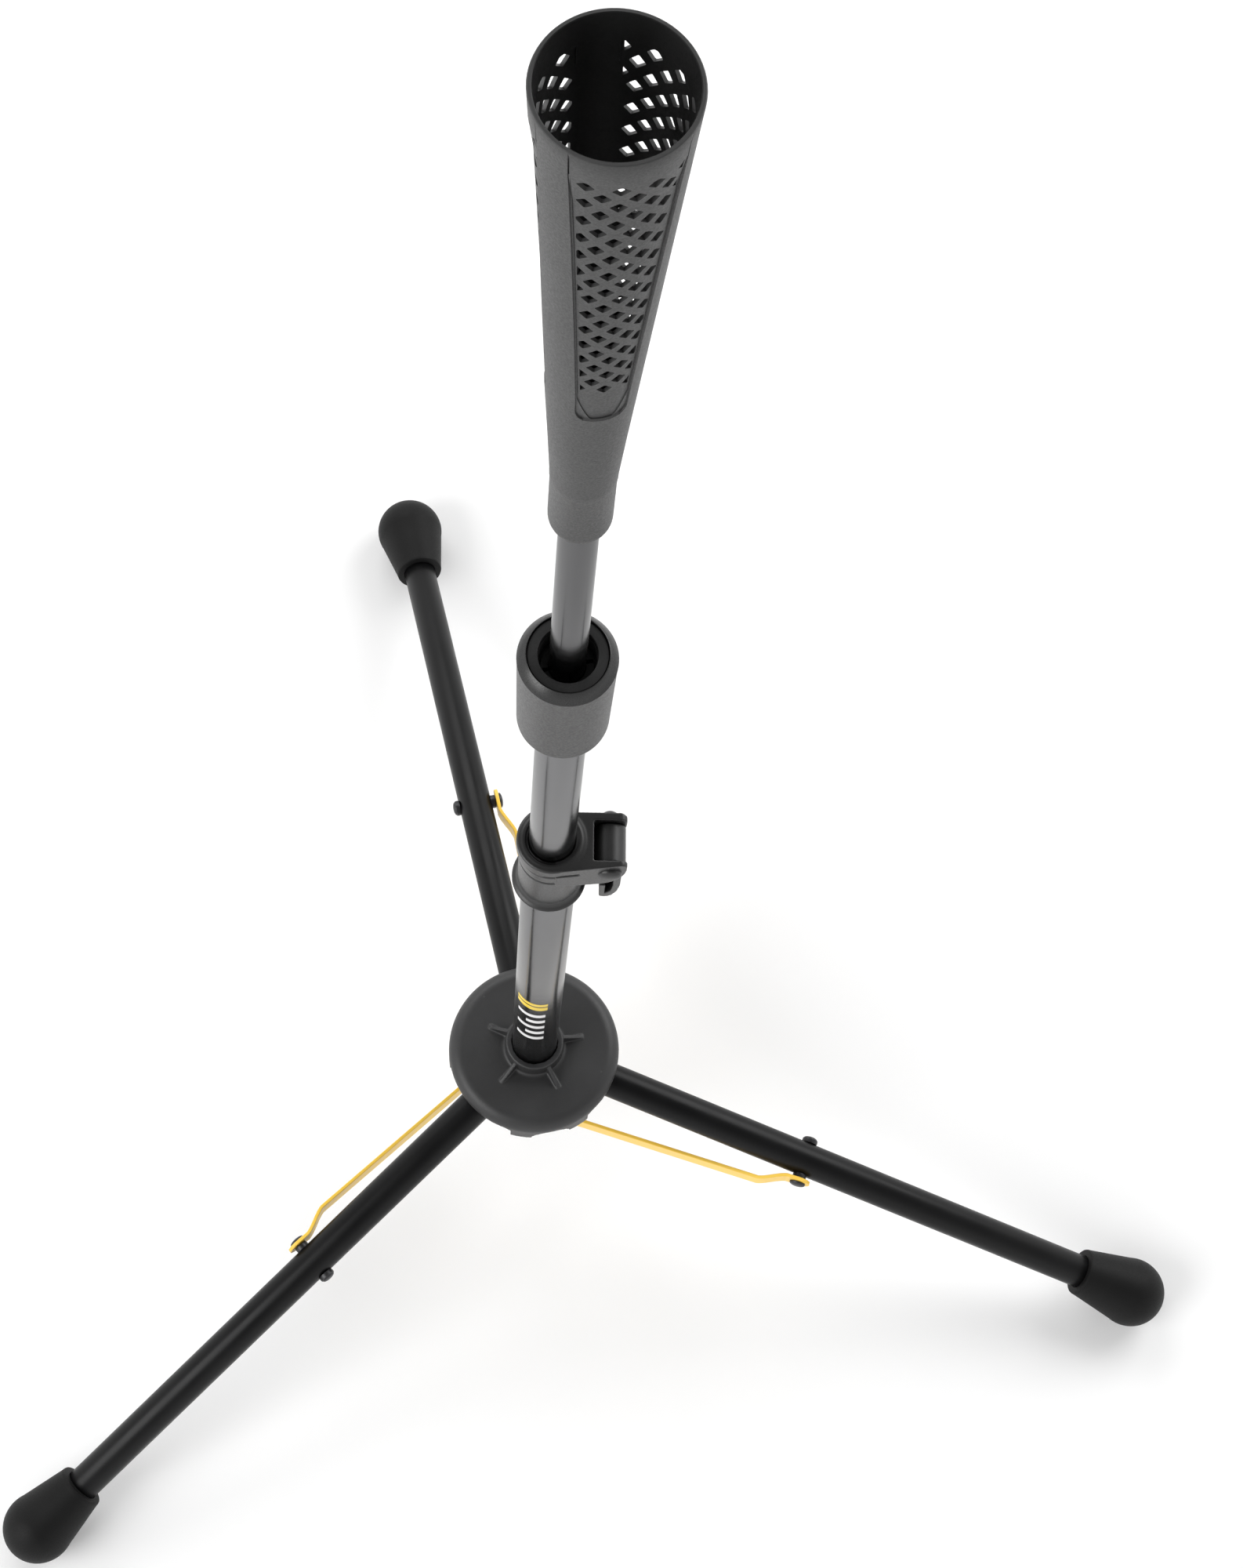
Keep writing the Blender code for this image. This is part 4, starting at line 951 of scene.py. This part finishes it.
def window_outline(inset):
    """Window outline laid flat: across by arc length, up by height, anticlockwise from the foot."""
    foot = [WINDOW_BOTTOM + step * MM for step in (0, 1.2, 3.5, 7)]
    levels = [foot[0] + inset] + foot[1:] + [WINDOW_SHOULDER, WINDOW_TOP - inset]
    right = [Vector((window_half_angle(h) * cup_radius(h) - inset, h)) for h in levels]
    left = [Vector((-p.x, p.y)) for p in reversed(right)]
    return right + left


def lattice_holes():
    """Diamond holes in staggered columns that lean and close up a little towards the foot."""
    limit = window_outline(0.9 * MM)
    span = LATTICE_TOP - WINDOW_SHOULDER
    columns = int(WINDOW_HALF_ANGLE * cup_radius(WINDOW_TOP) / COLUMN_PITCH) + 2
    rows = int(span / ROW_PITCH)
    wide, tall = HOLE_WIDTH / 2, HOLE_HEIGHT / 2
    holes = []
    for column in range(-columns, columns + 1):
        shift = 0 if column % 2 == 0 else ROW_PITCH / 2
        for row in range(rows):
            height = LATTICE_TOP - shift - row * ROW_PITCH
            share = (LATTICE_TOP - height) / span
            across = (LATTICE_SHIFT + COLUMN_PITCH * column) * (1 - LATTICE_NARROWING * share)
            middle = Vector((across - LATTICE_DRIFT * share, height))
            diamond = [middle + Vector(offset) for offset in ((wide, 0), (0, tall), (-wide, 0), (0, -tall))]
            hole = clip(diamond, limit)
            if len(hole) > 2 and area(hole) > 0.24 * wide * tall * 2:
                holes.append(rounded(hole, 0.45 * MM))
    return holes


def flat_lattice():
    """The mesh panel laid flat as triangles, sliced fine enough to bend round the cup."""
    shape = bmesh.new()
    border = window_outline(-0.3 * MM)
    edges = []
    for loop in [border] + lattice_holes():
        verts = [shape.verts.new((p.x, p.y, 0)) for p in loop]
        edges += [shape.edges.new((verts[k - 1], verts[k])) for k in range(len(verts))]
    bmesh.ops.triangle_fill(shape, use_beauty=True, use_dissolve=False, edges=edges)
    low, high = WINDOW_BOTTOM - 2 * MM, WINDOW_TOP + 2 * MM
    reach = WINDOW_HALF_ANGLE * cup_radius(WINDOW_TOP) + 2 * MM
    cuts = [(Vector((0, low + (high - low) * n / 28, 0)), Vector((0, 1, 0))) for n in range(1, 28)]
    cuts += [(Vector((-reach + 2 * reach * n / 22, 0, 0)), Vector((1, 0, 0))) for n in range(1, 22)]
    for point, normal in cuts:
        geometry = shape.verts[:] + shape.edges[:] + shape.faces[:]
        bmesh.ops.bisect_plane(shape, geom=geometry, plane_co=point, plane_no=normal)
    return shape


def make_lattice(azimuth):
    """Bend the flat panel round the cone, give it thickness and turn it to its window."""
    shape = flat_lattice()
    for vert in shape.verts:
        height = vert.co.y
        outside = cup_radius(height)
        angle = vert.co.x / outside + radians(azimuth)
        fade = min(1, max(0, (WINDOW_TOP - height) / (14 * MM)))
        radius = outside - 0.05 * MM - PANEL_DEPTH * fade
        vert.co = Vector((radius * cos(angle), radius * sin(angle), height))
    for face in shape.faces:
        centre = face.calc_center_median()
        if face.normal.dot(Vector((centre.x, centre.y, 0))) < 0:
            face.normal_flip()
    shape.normal_update()
    mesh = bpy.data.meshes.new("lattice")
    shape.to_mesh(mesh)
    shape.free()
    item = helper(mesh)
    solid = item.modifiers.new("solid", "SOLIDIFY")
    solid.thickness = LATTICE_WALL
    solid.offset = -1
    bpy.context.view_layer.update()
    graph = bpy.context.evaluated_depsgraph_get()
    made = bpy.data.meshes.new_from_object(item.evaluated_get(graph))
    bpy.data.objects.remove(item, do_unlink=True)
    made.shade_smooth()
    made.set_sharp_from_angle(angle=radians(40))
    return made


def make_cup():
    parts = [piece("cup_wall", make_cup_wall(), CUP_RUBBER, "upper_section", ["ball_cup"])]
    for k, azimuth in enumerate(WINDOW_AZIMUTHS, 1):
        parts.append(piece(f"cup_mesh_{k}", make_lattice(azimuth), CUP_RUBBER, "upper_section"))
    # Each cup part gets the darker inside material as painted shade on its inward faces.
    for part in parts:
        part.data.materials.append(CUP_INSIDE_SHADE)
        paint_shade_inside(part.data)


# ================================================================================================
# carried-over nodes, floor, light and camera
# ================================================================================================
def finish_frame_nodes():
    """Give every CAD node that still shows its own detailed material."""
    moulded_nodes = ("hub_core", "strut_runner", "post_cap", "clamp_liner", "collar_socket",
                     "middle_tube_bush", "upper_tube_bush")
    finishes = {node: NYLON for node in moulded_nodes}
    finishes["collet"] = RING_NYLON
    for k in (1, 2, 3):
        finishes[f"leg_hinge_{k}"] = NYLON
        finishes[f"leg_pin_{k}"] = STEEL
        finishes[f"hub_screw_{k}"] = STEEL
    for node, finish in finishes.items():
        mesh = frame["nodes"][node].data
        mesh.materials.clear()
        mesh.materials.append(finish)


def area_light(name, place, target, size, power):
    data = bpy.data.lights.new(name, "AREA")
    data.shape = "RECTANGLE"
    data.size, data.size_y = size
    data.energy = power
    lamp = bpy.data.objects.new(name, data)
    lamp.location = place
    lamp.rotation_euler = (Vector(target) - Vector(place)).to_track_quat("-Z", "Y").to_euler()
    bpy.context.scene.collection.objects.link(lamp)


def make_studio():
    """White sweep, pale surroundings that are brightest near the horizon, and large soft boxes."""
    shape = bmesh.new()
    bmesh.ops.create_grid(shape, x_segments=1, y_segments=1, size=6)
    floor = bpy.data.objects.new("studio_floor", mesh_from("studio_floor", shape))
    floor.data.materials.append(studio_floor())
    bpy.context.scene.collection.objects.link(floor)

    world = bpy.data.worlds.new("studio")
    world.use_nodes = True
    nodes, links = world.node_tree.nodes, world.node_tree.links
    place = nodes.new("ShaderNodeTexCoord")
    split = nodes.new("ShaderNodeSeparateXYZ")
    links.new(place.outputs["Generated"], split.inputs["Vector"])
    shade = nodes.new("ShaderNodeValToRGB")
    shade.color_ramp.elements[0].position = 0.0
    shade.color_ramp.elements[0].color = (1, 1, 1, 1)
    shade.color_ramp.elements[1].position = 0.85
    shade.color_ramp.elements[1].color = (0.14, 0.14, 0.14, 1)
    links.new(split.outputs["Z"], shade.inputs["Fac"])
    links.new(shade.outputs["Color"], nodes["Background"].inputs["Color"])
    nodes["Background"].inputs["Strength"].default_value = 1.42
    bpy.context.scene.world = world

    area_light("box_left", (-2.2, -0.6, 1.9), (0, 0, 0.3), (1.8, 1.8), 46)
    area_light("box_right", (2.1, 1.2, 2.0), (0, 0, 0.3), (1.8, 1.8), 40)
    area_light("box_back", (-0.4, 2.6, 2.2), (0, 0, 0.3), (2.4, 1.4), 34)


CAMERA_AZIMUTH = -16.6              # degrees that the view is turned clockwise from looking along +Y
CAMERA_DISTANCE = 403.8 * MM        # from the pole axis, level
CAMERA_HEIGHT = 1831 * MM
CAMERA_YAW = 0.0667
CAMERA_PITCH = 1.2452               # below the horizon
CAMERA_ROLL = 0.1493
CAMERA_LENS = 69.3


def make_camera():
    data = bpy.data.cameras.new("camera")
    data.sensor_fit = "VERTICAL"
    data.sensor_height = 36
    data.lens = CAMERA_LENS
    data.clip_start = 0.01
    camera = bpy.data.objects.new("camera", data)
    bpy.context.scene.collection.objects.link(camera)
    forward = Vector((sin(CAMERA_YAW), cos(CAMERA_YAW), 0))
    right = Vector((cos(CAMERA_YAW), -sin(CAMERA_YAW), 0))
    up = Vector((0, 0, 1))
    ahead = forward * cos(CAMERA_PITCH) - up * sin(CAMERA_PITCH)
    above = forward * sin(CAMERA_PITCH) + up * cos(CAMERA_PITCH)
    side = right * cos(CAMERA_ROLL) + above * sin(CAMERA_ROLL)
    over = above * cos(CAMERA_ROLL) - right * sin(CAMERA_ROLL)
    matrix = Matrix((side, over, -ahead)).transposed().to_4x4()
    matrix.translation = Vector((0, -CAMERA_DISTANCE, CAMERA_HEIGHT))
    camera.matrix_world = around(CAMERA_AZIMUTH) @ matrix
    bpy.context.scene.camera = camera


make_camera()
make_tubes()
make_pole_marks()
make_hub()
for number in (1, 2, 3):
    make_leg(number)
    make_strut(number)
make_clamp()
make_collar()
make_cup()
finish_frame_nodes()
make_studio()
bpy.context.scene.view_settings.view_transform = "Standard"
